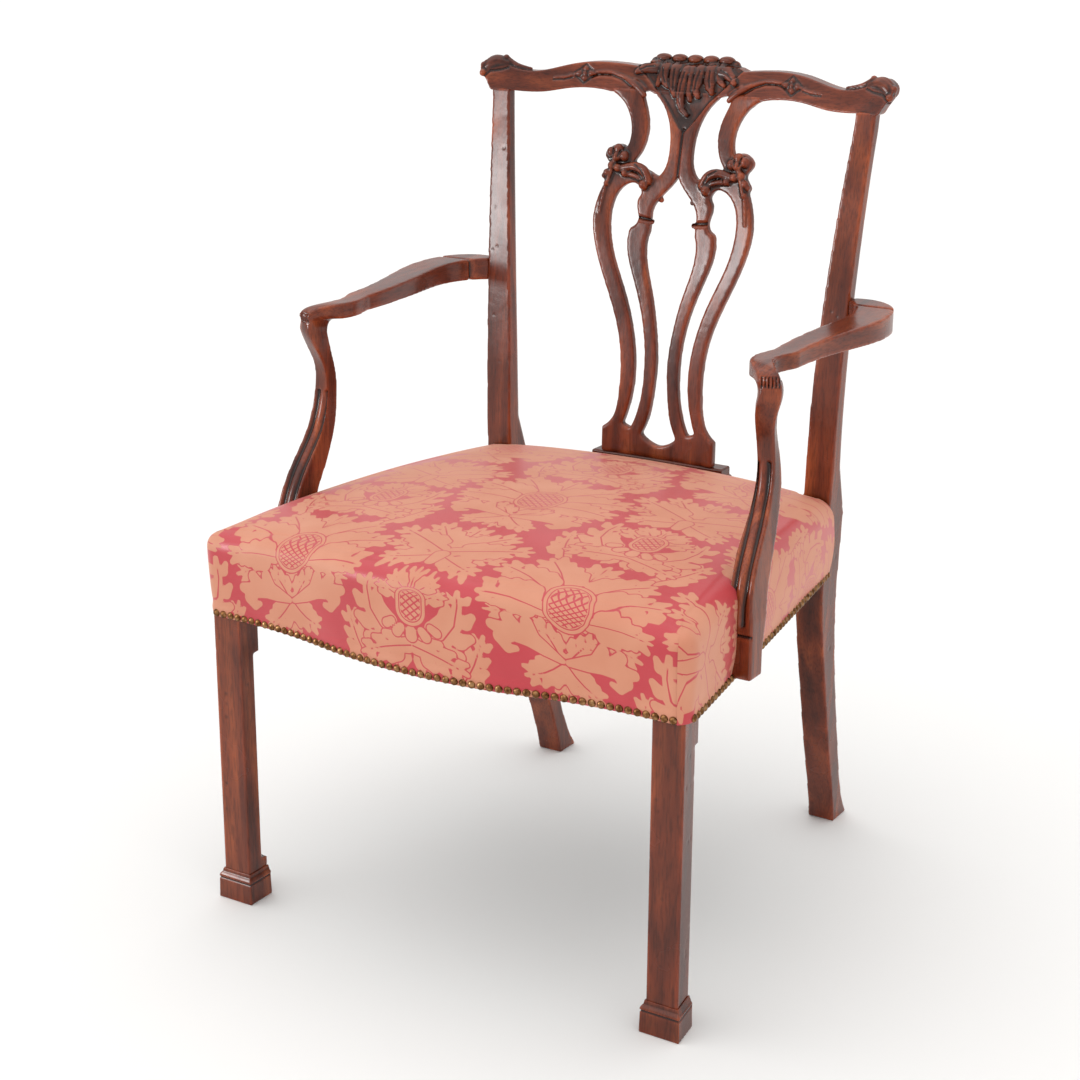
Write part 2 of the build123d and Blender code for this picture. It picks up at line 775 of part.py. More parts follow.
with BuildPart() as arm:
    with BuildSketch(Plane.XY.offset(support_bottom)):
        with BuildLine():
            inner = Spline(*[arm_plan(*point) for point in arm_inner_plan], (arm_end_x, neck_y[0]))
            hidden = Polyline(
                inner @ 1,
                (arm_end_x - post_top_width, neck_y[0]),
                (arm_end_x - post_top_width, neck_y[1]),
                (arm_end_x, neck_y[1]),
            )
            outer = Spline(hidden @ 1, *[arm_plan(*point) for point in arm_outer_plan])
            Line(outer @ 1, inner @ 0)
        make_face()
    extrude(amount=crest_joint - support_bottom)
    with BuildSketch(Plane.YZ):
        with BuildLine():
            end = post_seat_back
            top = Spline((end, arm_post_z + arm_post_thickness), *[arm_side(*point) for point in arm_over])
            nose = Polyline(top @ 1, arm_side(0, 0), arm_side(*arm_under[0]))
            under = Spline(nose @ 1, *[arm_side(*point) for point in arm_under[1:]], (end, arm_post_z))
            Line(under @ 1, top @ 0)
        make_face()
    extrude(amount=beside + leg_width, mode=Mode.INTERSECT)
    with BuildSketch(Plane.XZ.offset(-behind)):
        with BuildLine():
            face = post_edge(post_waist_outer + clearance, post_top_outer + clearance)
            Polyline(face @ 1, (beside + leg_width, post_top), (beside + leg_width, post_waist_z), face @ 0)
        make_face()
    extrude(amount=2 * behind, mode=Mode.INTERSECT)
    box((arm_end_x - arm_tenon[0], arm_end_x + arm_tenon[0]), arm_tenon_y, arm_tenon_z)
    support_joint(clearance, Mode.SUBTRACT)
write_pair(arm.part, "arm")

# Arm supports: curved uprights that end in a block screwed to the outside of the side rail.
# Side view: share of the way from the rail's top to the arm, and distance behind the block's front.
support_front_edge = [
    (0.046, 0.3), (0.13, 5), (0.287, 25), (0.454, 53), (0.611, 66), (0.778, 65), (0.926, 50),
    (1, 46),
]
support_back_edge = [
    (1, 81), (0.926, 76), (0.778, 81.5), (0.611, 86.5), (0.454, 81), (0.287, 63), (0.13, 46),
    (-0.055, 33),
]
# Front view: the same share, and distance out from the middle of the support's top
support_sway = [
    (0.13, 0.5), (0.287, -2.5), (0.454, -6.5), (0.611, -8.5), (0.778, -8.5), (0.861, -5.5),
    (0.926, -1), (1, 0),
]
notch_x = support_top_x - support_notch_in


def support_z(share):
    return rail_top + (arm_front_z - rail_top) * share


with BuildSketch(Plane.YZ.offset(notch_x)) as support_profile:
    with BuildLine():
        block_front = Line((support_front, support_bottom), (support_front, rail_top))
        Spline(block_front @ 1, *[(support_front + y, support_z(share)) for share, y in support_front_edge])
        back_edge = Spline(
            *[(support_front + y, support_z(share)) for share, y in support_back_edge],
            (support_front + support_depth, rail_bottom + rail_height / 2),
        )
        Line((support_front + support_front_edge[-1][1], arm_front_z), back_edge @ 0)
        block_back = Line(back_edge @ 1, (support_front + support_depth, support_bottom))
        Line(block_back @ 1, block_front @ 0)
    make_face()
    fillet(support_profile.vertices().group_by(Axis.Z)[0].sort_by(Axis.Y)[-1], radius=support_heel_radius)

with BuildPart() as arm_support:
    extrude(support_profile.sketch, amount=beside)
    with BuildSketch(Plane.XZ.offset(-behind)):
        with BuildLine():
            half = support_width / 2
            sway = [(support_top_x + x, support_z(share)) for share, x in support_sway]
            inner_block = Line((notch_x, support_bottom), (notch_x, rail_top))
            inner = Spline(inner_block @ 1, *[(x - half, z) for x, z in sway])
            outer_x = support_top_x + support_block_out
            outer_block = Line((outer_x, support_bottom), (outer_x, rail_top))
            outer = Spline(outer_block @ 1, *[(x + half, z) for x, z in sway])
            Line(inner @ 1, outer @ 1)
            Line(inner_block @ 0, outer_block @ 0)
        make_face()
    extrude(amount=2 * behind, mode=Mode.INTERSECT)
    with BuildSketch(Plane.XY.offset(support_bottom)):
        side_strip((leg_back, post_front), (0, rail_thickness))
    extrude(amount=rail_top - support_bottom, mode=Mode.SUBTRACT)
    support_joint(0, Mode.ADD)
    for place in support_screws:
        drill(place, support_screw_length)
write_pair(arm_support.part, "arm_support")
write(both_sides([screw(place, support_screw_length) for place in support_screws]), "support_screws")

# Webbing stretched over the seat frame in two layers
landing_y = (front_rail_back - webbing_landing, rear_rail_front + webbing_landing)
cross_z = (rail_top + webbing_thickness, rail_top + 2 * webbing_thickness)
with BuildPart() as webbing_fore_aft:
    for x in fore_aft_x:
        box(centred(x, webbing_width), landing_y, (rail_top, cross_z[0]))
write(webbing_fore_aft.part, "webbing_fore_aft")

with BuildPart() as webbing_cross:
    for y in cross_y:
        strap_y = centred(y, webbing_width)
        reach = side_x(strap_y[1], rail_thickness - webbing_landing)
        box((-reach, reach), strap_y, cross_z)
write(webbing_cross.part, "webbing_cross")


# Soft seat: hessian over the webbing, stuffing, and a cover that is drawn down over the rails
def seat_plan(grow, z, rear, rounding=0.0):
    """Plan of the seat at a height, grown by a margin, with a straight rear edge."""
    with BuildSketch(Plane.XY.offset(z)) as plan:
        with BuildLine():
            hollow = serpentine(front_y - grow)
            front = Line(hollow @ 1, (side_x(front_y - grow, -grow), front_y - grow))
            side = Line(front @ 1, (side_x(rear, -grow), rear))
            Line(side @ 1, (0, rear))
            mirror(about=Plane.YZ)
        make_face()
        if rounding > 0:
            corners = plan.vertices().sort_by(Axis.X)
            fillet([corners[0], corners[-1]], radius=rounding)
    return plan.sketch


def crown(sink):
    """Rounds off the top of the open part, this far below the cover's crown."""
    with Locations((0, crown_y, crown_z - crown_radius - sink)):
        Sphere(crown_radius, rotation=(90, 0, 0), mode=Mode.INTERSECT)


hessian_z = cross_z[1] + hessian_thickness
cavity_rear = post_front - soft_gap - cover_thickness
cover_rear = shoe_front - soft_gap
post_notch_x = post_inner(rail_top) - soft_gap
with BuildSketch(Plane.YZ.offset(notch_x - soft_gap)) as support_slot:
    slot_front = support_front - slot_gap
    slot_back = support_front + slot_gap
    Polygon(
        (slot_front, support_bottom - soft_gap),
        *[(slot_front + y, support_z(share)) for share, y in support_front_edge[:3]],
        *[(slot_back + y, support_z(share)) for share, y in support_back_edge[-3:-1]],
        (slot_back + support_depth, rail_bottom + rail_height / 2),
        (slot_back + support_depth, support_bottom - soft_gap),
        align=None,
    )

with BuildPart() as hessian:
    extrude(seat_plan(-hessian_inset, cross_z[1], cavity_rear), amount=hessian_thickness)
write(hessian.part, "hessian")

with BuildPart() as stuffing:
    extrude(seat_plan(0, hessian_z, cavity_rear - soft_gap), amount=crown_z - hessian_z)
    crown(cover_thickness + soft_gap)
    slot = extrude(support_slot.sketch, amount=beside, mode=Mode.SUBTRACT)
    mirror(slot, about=Plane.YZ, mode=Mode.SUBTRACT)
write(stuffing.part, "stuffing")

with BuildPart() as cavity:
    extrude(seat_plan(soft_gap, hessian_z, cavity_rear), amount=crown_z - hessian_z)
    crown(cover_thickness)

band_top = cover_bottom + cover_band
rise_slope = cover_rear_rise / (post_front - leg_back)
with BuildPart() as seat_cover:
    flared = seat_plan(cover_thickness, band_top, behind, cover_corner_radius)
    extrude(flared, amount=crown_z - band_top, taper=-cover_flare)
    crown(0)
    top = seat_cover.faces().sort_by(Axis.Z)[-1]
    fillet(top.edges().sort_by(Axis.Y)[:-1], radius=cover_top_radius)
    extrude(flared, amount=-cover_band)
    add(cavity.part, mode=Mode.SUBTRACT)
    extrude(seat_plan(soft_gap, 0, 2 * behind), amount=hessian_z + soft_gap, mode=Mode.SUBTRACT)
    box((-beside, beside), (cover_rear, 2 * behind), (0, crest_joint), Mode.SUBTRACT)
    for side in (-1, 1):
        across = sorted((side * post_notch_x, side * beside))
        box(across, (post_front - soft_gap, behind), (0, crest_joint), Mode.SUBTRACT)
    slot = extrude(support_slot.sketch, amount=beside, mode=Mode.SUBTRACT)
    mirror(slot, about=Plane.YZ, mode=Mode.SUBTRACT)
    with BuildSketch(Plane.YZ):
        Polygon(
            (leg_back, cover_bottom),
            (behind, cover_bottom),
            (behind, cover_bottom + rise_slope * (behind - leg_back)),
            align=None,
        )
    extrude(amount=beside, both=True, mode=Mode.SUBTRACT)
write(seat_cover.part, "seat_cover")

# Close nails along the cover's lower edge, on the front and both sides
with BuildPart() as nail:
    with BuildSketch():
        RegularPolygon(nail_radius, 8)
    extrude(amount=nail_height, taper=nail_slope)


def nailed(x, y, outward):
    """A nail on the cover at this place, just above its lower edge."""
    z = cover_bottom + nail_rise + rise_slope * max(0, y - leg_back)
    return nail.part.moved(Plane(origin=(x, y, z), z_dir=outward).location)


nail_out = cover_thickness + clearance
nail_y = front_y - nail_out
corner_x = side_x(nail_y, -nail_out)
with BuildLine() as front_line:
    hollow = serpentine(nail_y)
    Line(hollow @ 1, (corner_x - cover_corner_radius, nail_y))
front_run = front_line.wire()
front_nails = []
for count in range(int(front_run.length / nail_pitch) + 1):
    spot = front_run.position_at(count * nail_pitch, position_mode=PositionMode.LENGTH)
    along = front_run.tangent_at(count * nail_pitch, position_mode=PositionMode.LENGTH)
    front_nails.append(nailed(spot.X, spot.Y, (along.Y, -along.X, 0)))
    if count > 0:
        front_nails.append(nailed(-spot.X, spot.Y, (-along.Y, -along.X, 0)))
write(Compound(children=front_nails), "nails_front")

side_nails = []
first_nail_y = nail_y + cover_corner_radius + nail_radius
for count in range(int((post_front - first_nail_y - nail_radius) / nail_pitch) + 1):
    y = first_nail_y + count * nail_pitch
    if y < support_front - 2 * nail_radius or y > support_front + support_depth + 2 * nail_radius:
        side_nails.append(nailed(side_x(y, -nail_out), y, (1, -side_slope, 0)))
write_pair(Compound(children=side_nails), "nails")

# Bottom cloth under the rails, cut round the legs, bracket and posts
cloth_bottom = rail_bottom - bottom_cloth_thickness
bracket_end = leg_back + bracket_depth
cloth_cuts = [
    (leg_inner, (2 * front_y, leg_back + soft_gap)),
    (side_x(bracket_end, bracket_set_back + bracket_width), (leg_back, bracket_end + soft_gap)),
    (post_inner(cloth_bottom), (post_front - soft_gap, behind)),
]
with BuildPart() as bottom_cloth:
    cloth = seat_plan(-bottom_cloth_inset, cloth_bottom, rear_rail_back - bottom_cloth_inset)
    extrude(cloth, amount=bottom_cloth_thickness)
    for inner_x, y in cloth_cuts:
        for side in (-1, 1):
            across = sorted((side * (inner_x - soft_gap), side * beside))
            box(across, y, (0, rail_top), Mode.SUBTRACT)
write(bottom_cloth.part, "bottom_cloth")
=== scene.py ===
from math import atan2, cos, pi, radians, sin, sqrt

import bpy
import numpy as np
from mathutils import Matrix, Vector
from mathutils.bvhtree import BVHTree


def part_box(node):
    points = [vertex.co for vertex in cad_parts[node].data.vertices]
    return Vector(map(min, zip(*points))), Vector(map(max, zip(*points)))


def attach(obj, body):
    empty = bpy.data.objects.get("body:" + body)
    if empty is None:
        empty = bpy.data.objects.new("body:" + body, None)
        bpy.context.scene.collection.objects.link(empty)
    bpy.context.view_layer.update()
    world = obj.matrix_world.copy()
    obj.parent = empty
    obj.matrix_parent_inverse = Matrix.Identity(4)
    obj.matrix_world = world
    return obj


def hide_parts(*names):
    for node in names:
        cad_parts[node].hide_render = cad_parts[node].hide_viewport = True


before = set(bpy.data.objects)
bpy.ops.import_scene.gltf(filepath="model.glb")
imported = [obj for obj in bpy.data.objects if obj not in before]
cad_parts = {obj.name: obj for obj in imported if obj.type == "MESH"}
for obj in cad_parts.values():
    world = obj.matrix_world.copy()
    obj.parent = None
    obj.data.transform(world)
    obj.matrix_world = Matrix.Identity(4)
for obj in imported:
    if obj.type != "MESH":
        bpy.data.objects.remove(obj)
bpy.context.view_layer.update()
bpy.ops.object.select_all(action="DESELECT")

# Front legs: square mahogany with a stopped chamfer inside, mortised for the seat rails.
# Cut from the plank with the grain upright, planed, polished, and dented by long use.
# A small bracket is glued behind the right one, under the side rail.
mm = 0.001


def paint(code):
    """A linear colour from an sRGB hex value."""
    parts = [int(code[i:i + 2], 16) / 255 for i in (1, 3, 5)]
    return [c / 12.92 if c <= 0.04045 else ((c + 0.055) / 1.055) ** 2.4 for c in parts] + [1]


def wire(made, **inputs):
    """Sets or links a node's inputs, by name or, as in _0, by number."""
    for name, value in inputs.items():
        socket = made.inputs[int(name[1:]) if name[1:].isdigit() else name.replace("_", " ")]
        if isinstance(value, bpy.types.Node):
            value = value.outputs[0]
        if isinstance(value, bpy.types.NodeSocket):
            made.id_data.links.new(value, socket)
        else:
            socket.default_value = value
    return made


def node(tree, kind, settings=None, **inputs):
    """Adds a shader node with its settings, a ramp's stops among them, and its inputs."""
    made = tree.nodes.new("ShaderNode" + kind)
    for name, value in (settings or {}).items():
        if name == "stops":
            for place, _ in value[2:]:
                made.color_ramp.elements.new(place)
            for element, (place, code) in zip(made.color_ramp.elements, value):
                element.position, element.color = place, paint(code)
        else:
            setattr(made, name, value)
    return wire(made, **inputs)


def finish_of(name):
    """A new material, its node tree and shader, and the place on the object that its patterns read."""
    material = bpy.data.materials.new(name)
    material.use_nodes = True
    tree = material.node_tree
    return material, tree, tree.nodes["Principled BSDF"], node(tree, "TexCoord").outputs["Object"]


def polished_mahogany(name, grain):
    """French-polished mahogany: streaky red-brown figure along the grain, fine dark pores, a satin film,
    hollows darkened as painted shade and wax, arrises and high spots paler as painted highlight and wear."""
    material, tree, shader, place = finish_of(name)
    streak = [1.0, 1.0, 1.0]
    streak["XYZ".index(grain)] = 0.09
    along = node(tree, "Mapping", Vector=place, Scale=streak)
    figure = node(tree, "TexNoise", Vector=along, Scale=1 / (26 * mm), Detail=5.0, Distortion=0.7)
    pores = node(tree, "TexNoise", Vector=along, Scale=1 / (1.6 * mm), Detail=2.0)
    patches = node(tree, "TexNoise", Vector=place, Scale=1 / (70 * mm), Detail=3.0)
    dents = node(tree, "TexNoise", Vector=place, Scale=1 / (14 * mm), Detail=3.0)
    stops = [(0.28, "#451A0E"), (0.5, "#702F18"), (0.72, "#974926")]
    colour = node(tree, "ValToRGB", {"stops": stops}, Fac=figure)
    hollow = node(tree, "Attribute", {"attribute_name": "hollow"}).outputs["Fac"]
    tone = 1.0
    for cause, low, high, at_low, at_high in (
        (patches, 0.3, 0.7, 0.72, 1.12),
        (pores, 0.36, 0.52, 0.66, 1.0),
        (hollow, 0.0, 0.5 * mm, 1.0, 0.2),  # painted shade in the hollows, and wax gathered there
        (hollow, -0.5 * mm, 0.0, 1.5, 1.0),  # painted highlight on arrises and high spots, and rubbed wear
    ):
        share = node(
            tree, "MapRange", Value=cause, From_Min=low, From_Max=high, To_Min=at_low, To_Max=at_high
        )
        tone = node(tree, "Math", {"operation": "MULTIPLY"}, _0=tone, _1=share)
    toned = node(tree, "VectorMath", {"operation": "SCALE"}, _0=colour, Scale=tone)
    gloss = node(tree, "MapRange", Value=patches, From_Min=0.3, From_Max=0.7, To_Min=0.17, To_Max=0.3)
    relief = node(tree, "Math", {"operation": "MULTIPLY_ADD"}, _0=pores, _1=0.12, _2=dents)
    bump = node(tree, "Bump", Strength=0.35, Distance=0.6 * mm, Height=relief)
    wire(shader, Base_Color=toned, Roughness=gloss, Normal=bump, IOR=1.5, Specular_IOR_Level=0.4)
    return material


def dress(piece, material):
    """Gives a piece its one material."""
    piece.data.materials.clear()
    piece.data.materials.append(material)


def ease(name, material, arris):
    """Dresses a CAD piece as it stands, with its arrises eased by this width."""
    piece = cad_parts[name]
    dress(piece, material)
    weld = piece.modifiers.new("weld", "WELD")
    weld.merge_threshold = 0.01 * mm
    flat = piece.modifiers.new("flat", "DECIMATE")
    flat.decimate_type = "DISSOLVE"
    flat.angle_limit = radians(1)
    eased = piece.modifiers.new("arris", "BEVEL")
    eased.width = arris
    eased.segments = 2
    eased.limit_method = "ANGLE"
    eased.angle_limit = radians(30)


def pick(*pieces):
    """Selects these pieces and no others, with the first one active."""
    bpy.ops.object.select_all(action="DESELECT")
    for piece in pieces:
        piece.select_set(True)
    bpy.context.view_layer.objects.active = pieces[0]


def add(called, data):
    """A new piece with this name and shape."""
    made = bpy.data.objects.new(called, data)
    bpy.context.scene.collection.objects.link(made)
    pick(made)
    return made


def copy_of(name, called):
    """A merged copy of a CAD piece, to be carved."""
    made = add(called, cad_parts[name].data.copy())
    bpy.ops.object.mode_set(mode="EDIT")
    bpy.ops.mesh.select_all(action="SELECT")
    bpy.ops.mesh.remove_doubles(threshold=0.01 * mm)
    bpy.ops.object.mode_set(mode="OBJECT")
    return made


def fuse(piece, carving, voxel, softening):
    """Joins the carving to a piece and makes them one skin, with its arrises softened."""
    pick(piece, *carving)
    if carving:
        bpy.ops.object.join()
    skin = piece.modifiers.new("skin", "REMESH")
    skin.mode = "VOXEL"
    skin.voxel_size = voxel
    bpy.ops.object.modifier_apply(modifier="skin")
    rub = piece.modifiers.new("rub", "SMOOTH")
    rub.factor = 0.5
    rub.iterations = softening
    bpy.ops.object.modifier_apply(modifier="rub")


def read(piece):
    """The places and normals of a piece's points."""
    count = len(piece.data.vertices)
    places, normals = np.zeros(count * 3), np.zeros(count * 3)
    piece.data.vertices.foreach_get("co", places)
    piece.data.vertex_normals.foreach_get("vector", normals)
    return places.reshape(-1, 3), normals.reshape(-1, 3)


def put(piece, places):
    """Moves a piece's points to these places."""
    piece.data.vertices.foreach_set("co", places.ravel())
    piece.data.update()


def even_out(piece, values, rounds):
    """Values at a piece's points, averaged with their neighbours' a number of times."""
    pairs = np.zeros(len(piece.data.edges) * 2, int)
    piece.data.edges.foreach_get("vertices", pairs)
    one, two = pairs.reshape(-1, 2).T
    shared = np.bincount(one, minlength=len(values)) + np.bincount(two, minlength=len(values))
    for _ in range(rounds):
        columns = [np.bincount(one, c[two], len(c)) + np.bincount(two, c[one], len(c)) for c in values.T]
        values = np.stack(columns, axis=1) / shared[:, None]
    return values


def mark_hollows(piece, shaded_and_waxed):
    """Notes how far each point lies in a hollow or on an arris, for painted shade and wax, or painted
    highlight and wear.
    Round the listed places (x, z and radius in mm, on both sides) it is made deeper, as more painted shade
    and wax."""
    places, normals = read(piece)
    depth = np.einsum("ij,ij->i", even_out(piece, places, 7) - places, normals)
    for x, z, radius in shaded_and_waxed:
        off = np.hypot(np.abs(places[:, 0]) / mm - x, places[:, 2] / mm - z) / radius
        depth = np.maximum(depth, depth + 0.3 * mm * np.clip(2 - 2 * off, 0, 1))
    piece.data.attributes.new("hollow", "FLOAT", "POINT").data.foreach_set("value", depth)


def stand_for(piece, material, slot, *names, shaded_and_waxed=()):
    """Finishes a shaped or carved piece that stands for a CAD piece."""
    if "hollow" not in piece.data.attributes:
        mark_hollows(piece, shaded_and_waxed)
    pick(piece)
    bpy.ops.object.shade_smooth_by_angle(angle=radians(70))
    dress(piece, material)
    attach(piece, "root")
    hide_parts(*names)


def wear(piece, name, material, voxel, knocks):
    """Finishes a copy of a CAD piece with its arrises rubbed round and a number of small dents knocked in."""
    fuse(piece, [], voxel, 4)
    places, normals = read(piece)
    chance = np.random.default_rng(len(name) + knocks)
    for at in chance.integers(0, len(places), knocks):
        size, depth = chance.uniform(1.2, 3.2) * mm, chance.uniform(0.15, 0.5) * mm
        off = np.linalg.norm(places - places[at], axis=1) / size
        places -= normals * (depth * np.exp(-(off**2)))[:, None]
    put(piece, places)
    stand_for(piece, material, "mahogany", name)


upright_mahogany = polished_mahogany("polished_mahogany_upright", "Z")
for side in ("right", "left"):
    leg = copy_of(f"front_leg_{side}", f"front_leg_{side}_worn")
    wear(leg, f"front_leg_{side}", upright_mahogany, 1.4 * mm, 60)
ease("leg_bracket_right", upright_mahogany, 1.0 * mm)

# Foot mouldings: strips of mahogany glued round the foot of each front leg and run as one block.
# A bead and a cove lead from the leg to the block, with a quirk cut between them.
foot_profile = np.array([  # height, and how far out of the plain block, in mm
    (0, 0.5), (16, 0), (23.5, -0.2), (24.5, -1.4), (26, -1.5),
    (27, 0.2), (29, 0.7), (31, 0), (33, -1.0), (37, 0),
])
leg_behind = 12 * mm  # from the middle of the mouldings back to the middle of the leg
leg_half = 19 * mm  # what lies nearer is glued to the leg, and stays plain
for side in ("right", "left"):
    foot = copy_of(f"foot_facings_{side}", f"foot_moulding_{side}")
    fuse(foot, [], 0.8 * mm, 2)
    places, normals = read(foot)
    middle = (places.min(axis=0) + places.max(axis=0)) / 2
    middle[1] += leg_behind
    level = normals * (1, 1, 0)
    level /= np.maximum(np.linalg.norm(level, axis=1), 0.3)[:, None]
    outside = np.einsum("ij,ij->i", level, places - middle) > leg_half
    places += level * (outside * np.interp(places[:, 2] / mm, *foot_profile.T) * mm)[:, None]
    put(foot, places)
    stand_for(foot, upright_mahogany, "mahogany", f"foot_facings_{side}")

# Rear posts: mahogany, sawn from one plank from foot to crest, so that leg and upright rake in one curve.
# Mortised for the seat rails and the arms, tenoned into the crest, and rounded at the back above the seat.
post_top = 907 * mm
post_into_crest = 9 * mm  # so that the joint closes against the underside of the crest
for side in ("right", "left"):
    post = copy_of(f"rear_post_{side}", f"rear_post_{side}_worn")
    for point in post.data.vertices:
        if point.co.z > post_top - 0.1 * mm:
            point.co.z += post_into_crest
    wear(post, f"rear_post_{side}", upright_mahogany, 1.5 * mm, 40)

# Seat rails and corner braces: beech, planed and left bare where the cover hides them.
# The rear rail shows below the shoe, so it is mahogany like the posts it is tenoned into.
across_mahogany = polished_mahogany("polished_mahogany_across", "X")
ease("rear_rail", across_mahogany, 0.8 * mm)


def planed_beech():
    """Unpolished beech: pale pinkish brown, with short dark flecks of ray along the grain."""
    material, tree, shader, place = finish_of("planed_beech")
    fleck = node(tree, "Mapping", Vector=place, Scale=(0.3, 0.3, 1.0))
    rays = node(tree, "TexNoise", Vector=fleck, Scale=1 / (3 * mm), Detail=3.0)
    stops = [(0.3, "#8E6743"), (0.5, "#A97F57"), (0.7, "#B58D66")]
    colour = node(tree, "ValToRGB", {"stops": stops}, Fac=rays)
    bump = node(tree, "Bump", Strength=0.3, Distance=0.3 * mm, Height=rays)
    wire(shader, Base_Color=colour, Normal=bump, Roughness=0.7)
    return material


beech = planed_beech()
for name in ("front_rail", "side_rail_right", "side_rail_left"):
    ease(name, beech, 0.8 * mm)
for corner in ("front", "rear"):
    for side in ("right", "left"):
        ease(f"{corner}_corner_brace_{side}", beech, 0.8 * mm)


# Screws: turned steel with plain round heads, let into the wood.
# They are driven through the braces into the rails, and through the side rails into the arm supports.
def turned_steel():
    """Old bright steel, dulled: grey with a brown bloom of age."""
    material, tree, shader, place = finish_of("turned_steel")
    bloom = node(tree, "TexNoise", Vector=place, Scale=1 / (4 * mm), Detail=4.0)
    stops = [(0.35, "#6E5F52"), (0.65, "#A3A09B")]
    colour = node(tree, "ValToRGB", {"stops": stops}, Fac=bloom)
    wire(shader, Base_Color=colour, Metallic=1.0, Roughness=0.45)
    return material


steel = turned_steel()
for name in ("brace_screws", "support_screws"):
    dress(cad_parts[name], steel)

# Shoe: the moulded mahogany block that the splat stands in, with its arrises eased by a scraper.
# It is glued and nailed down on the rear rail.
ease("shoe", across_mahogany, 0.8 * mm)

# Splat: a pierced mahogany board, bowed and raked, sawn into ribbons that touch, swell and turn over.
# Its rosettes, leaves and knuckles are carved in the solid; they are built up here and fused with the board.
back_front = 200.7 * mm
back_rake = (440 * mm, 2000 * mm)  # where the rake starts, and its radius
post_rake = (187.2 * mm, 2790 * mm)
crest_end = (247.75 * mm, 907 * mm)
crest_joint = 918 * mm


def back_face(z):
    """Front of the back on the centre line."""
    return back_front + back_rake[1] - sqrt(back_rake[1] ** 2 - (z - back_rake[0]) ** 2)


post_face = post_rake[0] + post_rake[1] - sqrt(post_rake[1] ** 2 - (crest_end[1] - back_rake[0]) ** 2)
bow = back_face(crest_end[1]) - post_face
bow_radius = (crest_end[0] ** 2 + bow**2) / (2 * bow)
bow_axis = back_face(crest_end[1]) - bow_radius


def on_back(x, z, out):
    """A place in front of the bowed back, from mm."""
    x, z, out = x * mm, z * mm, out * mm
    return Vector((x, bow_axis + sqrt((back_face(z) - bow_axis) ** 2 - x**2) - out, z))


def bud(place, size):
    """A carved bud: a ball drawn out to three radii in mm."""
    bpy.ops.object.select_all(action="DESELECT")
    bpy.ops.mesh.primitive_uv_sphere_add(
        segments=20, ring_count=12, radius=1, location=place, scale=[s * mm for s in size]
    )
    return bpy.context.object


def leaf(stations):
    """A carved leaf or stem: a rounded bar through stations of (place, radius in mm)."""
    line = bpy.data.curves.new("leaf", "CURVE")
    line.dimensions = "3D"
    line.bevel_depth = mm
    line.bevel_resolution = 4
    line.use_fill_caps = True
    spline = line.splines.new("NURBS")
    spline.points.add(len(stations) - 1)
    for point, (place, radius) in zip(spline.points, stations):
        point.co = (*place, 1)
        point.radius = radius
    spline.order_u = 3
    spline.use_endpoint_u = True
    spline.resolution_u = 8
    add("leaf", line)
    bpy.ops.object.convert(target="MESH")
    made = bpy.context.object
    ends = [bud(place, (radius * 0.98,) * 3) for place, radius in (stations[0], stations[-1])]
    return [made] + ends


def gouge(piece, line, width, depth):
    """Cuts a groove along a line of (x, z) in mm into the front of a piece."""
    places, normals = read(piece)
    flat = places[:, [0, 2]] / mm
    near = np.full(len(flat), 1e9)
    for start, end in zip(line, line[1:]):
        start, way = np.array(start, float), np.subtract(end, start)
        t = np.clip((flat - start) @ way / (way @ way), 0, 1)
        near = np.minimum(near, np.linalg.norm(flat - start - t[:, None] * way, axis=1))
    front = np.clip((-normals[:, 1] - 0.2) / 0.4, 0, 1)
    places[:, 1] += depth * mm * np.exp(-((near / width) ** 2)) * front
    put(piece, places)


ribbon_fork = [  # height and half width in mm
    (872, 0), (880, 7), (892, 17), (911, 31), (922, 43), (935, 56), (950, 72), (962, 78),
]


def sink_ground(piece, depth):
    """Cuts back the ground in the fork between the two ribbons, from the crest down to where they meet."""
    places, normals = read(piece)
    half = np.interp(places[:, 2] / mm, *np.array(ribbon_fork, float).T)
    inside = np.clip((half - np.abs(places[:, 0]) / mm) / 1.6, 0, 1)
    places[:, 1] += depth * mm * inside * np.clip((-normals[:, 1] - 0.2) / 0.4, 0, 1)
    put(piece, places)


def raise_relief(piece, leaves):
    """Raises leaves from the front of a piece: each a height in mm and a line of (x, z, radius)."""
    places, normals = read(piece)
    x, z = places[:, 0] / mm, places[:, 2] / mm
    height = np.zeros(len(x))
    for rise, line in leaves:
        for (x0, z0, r0), (x1, z1, r1) in zip(line, line[1:]):
            way = (x1 - x0, z1 - z0)
            t = np.clip(((x - x0) * way[0] + (z - z0) * way[1]) / (way[0] ** 2 + way[1] ** 2), 0, 1)
            off = np.hypot(x - x0 - t * way[0], z - z0 - t * way[1]) / (r0 + (r1 - r0) * t)
            height = np.maximum(height, rise * np.sqrt(np.clip(1 - off**2, 0, 1)))
    front = np.clip((-normals[:, 1] - 0.2) / 0.4, 0, 1)
    places[:, 1] -= height * mm * front
    put(piece, places)


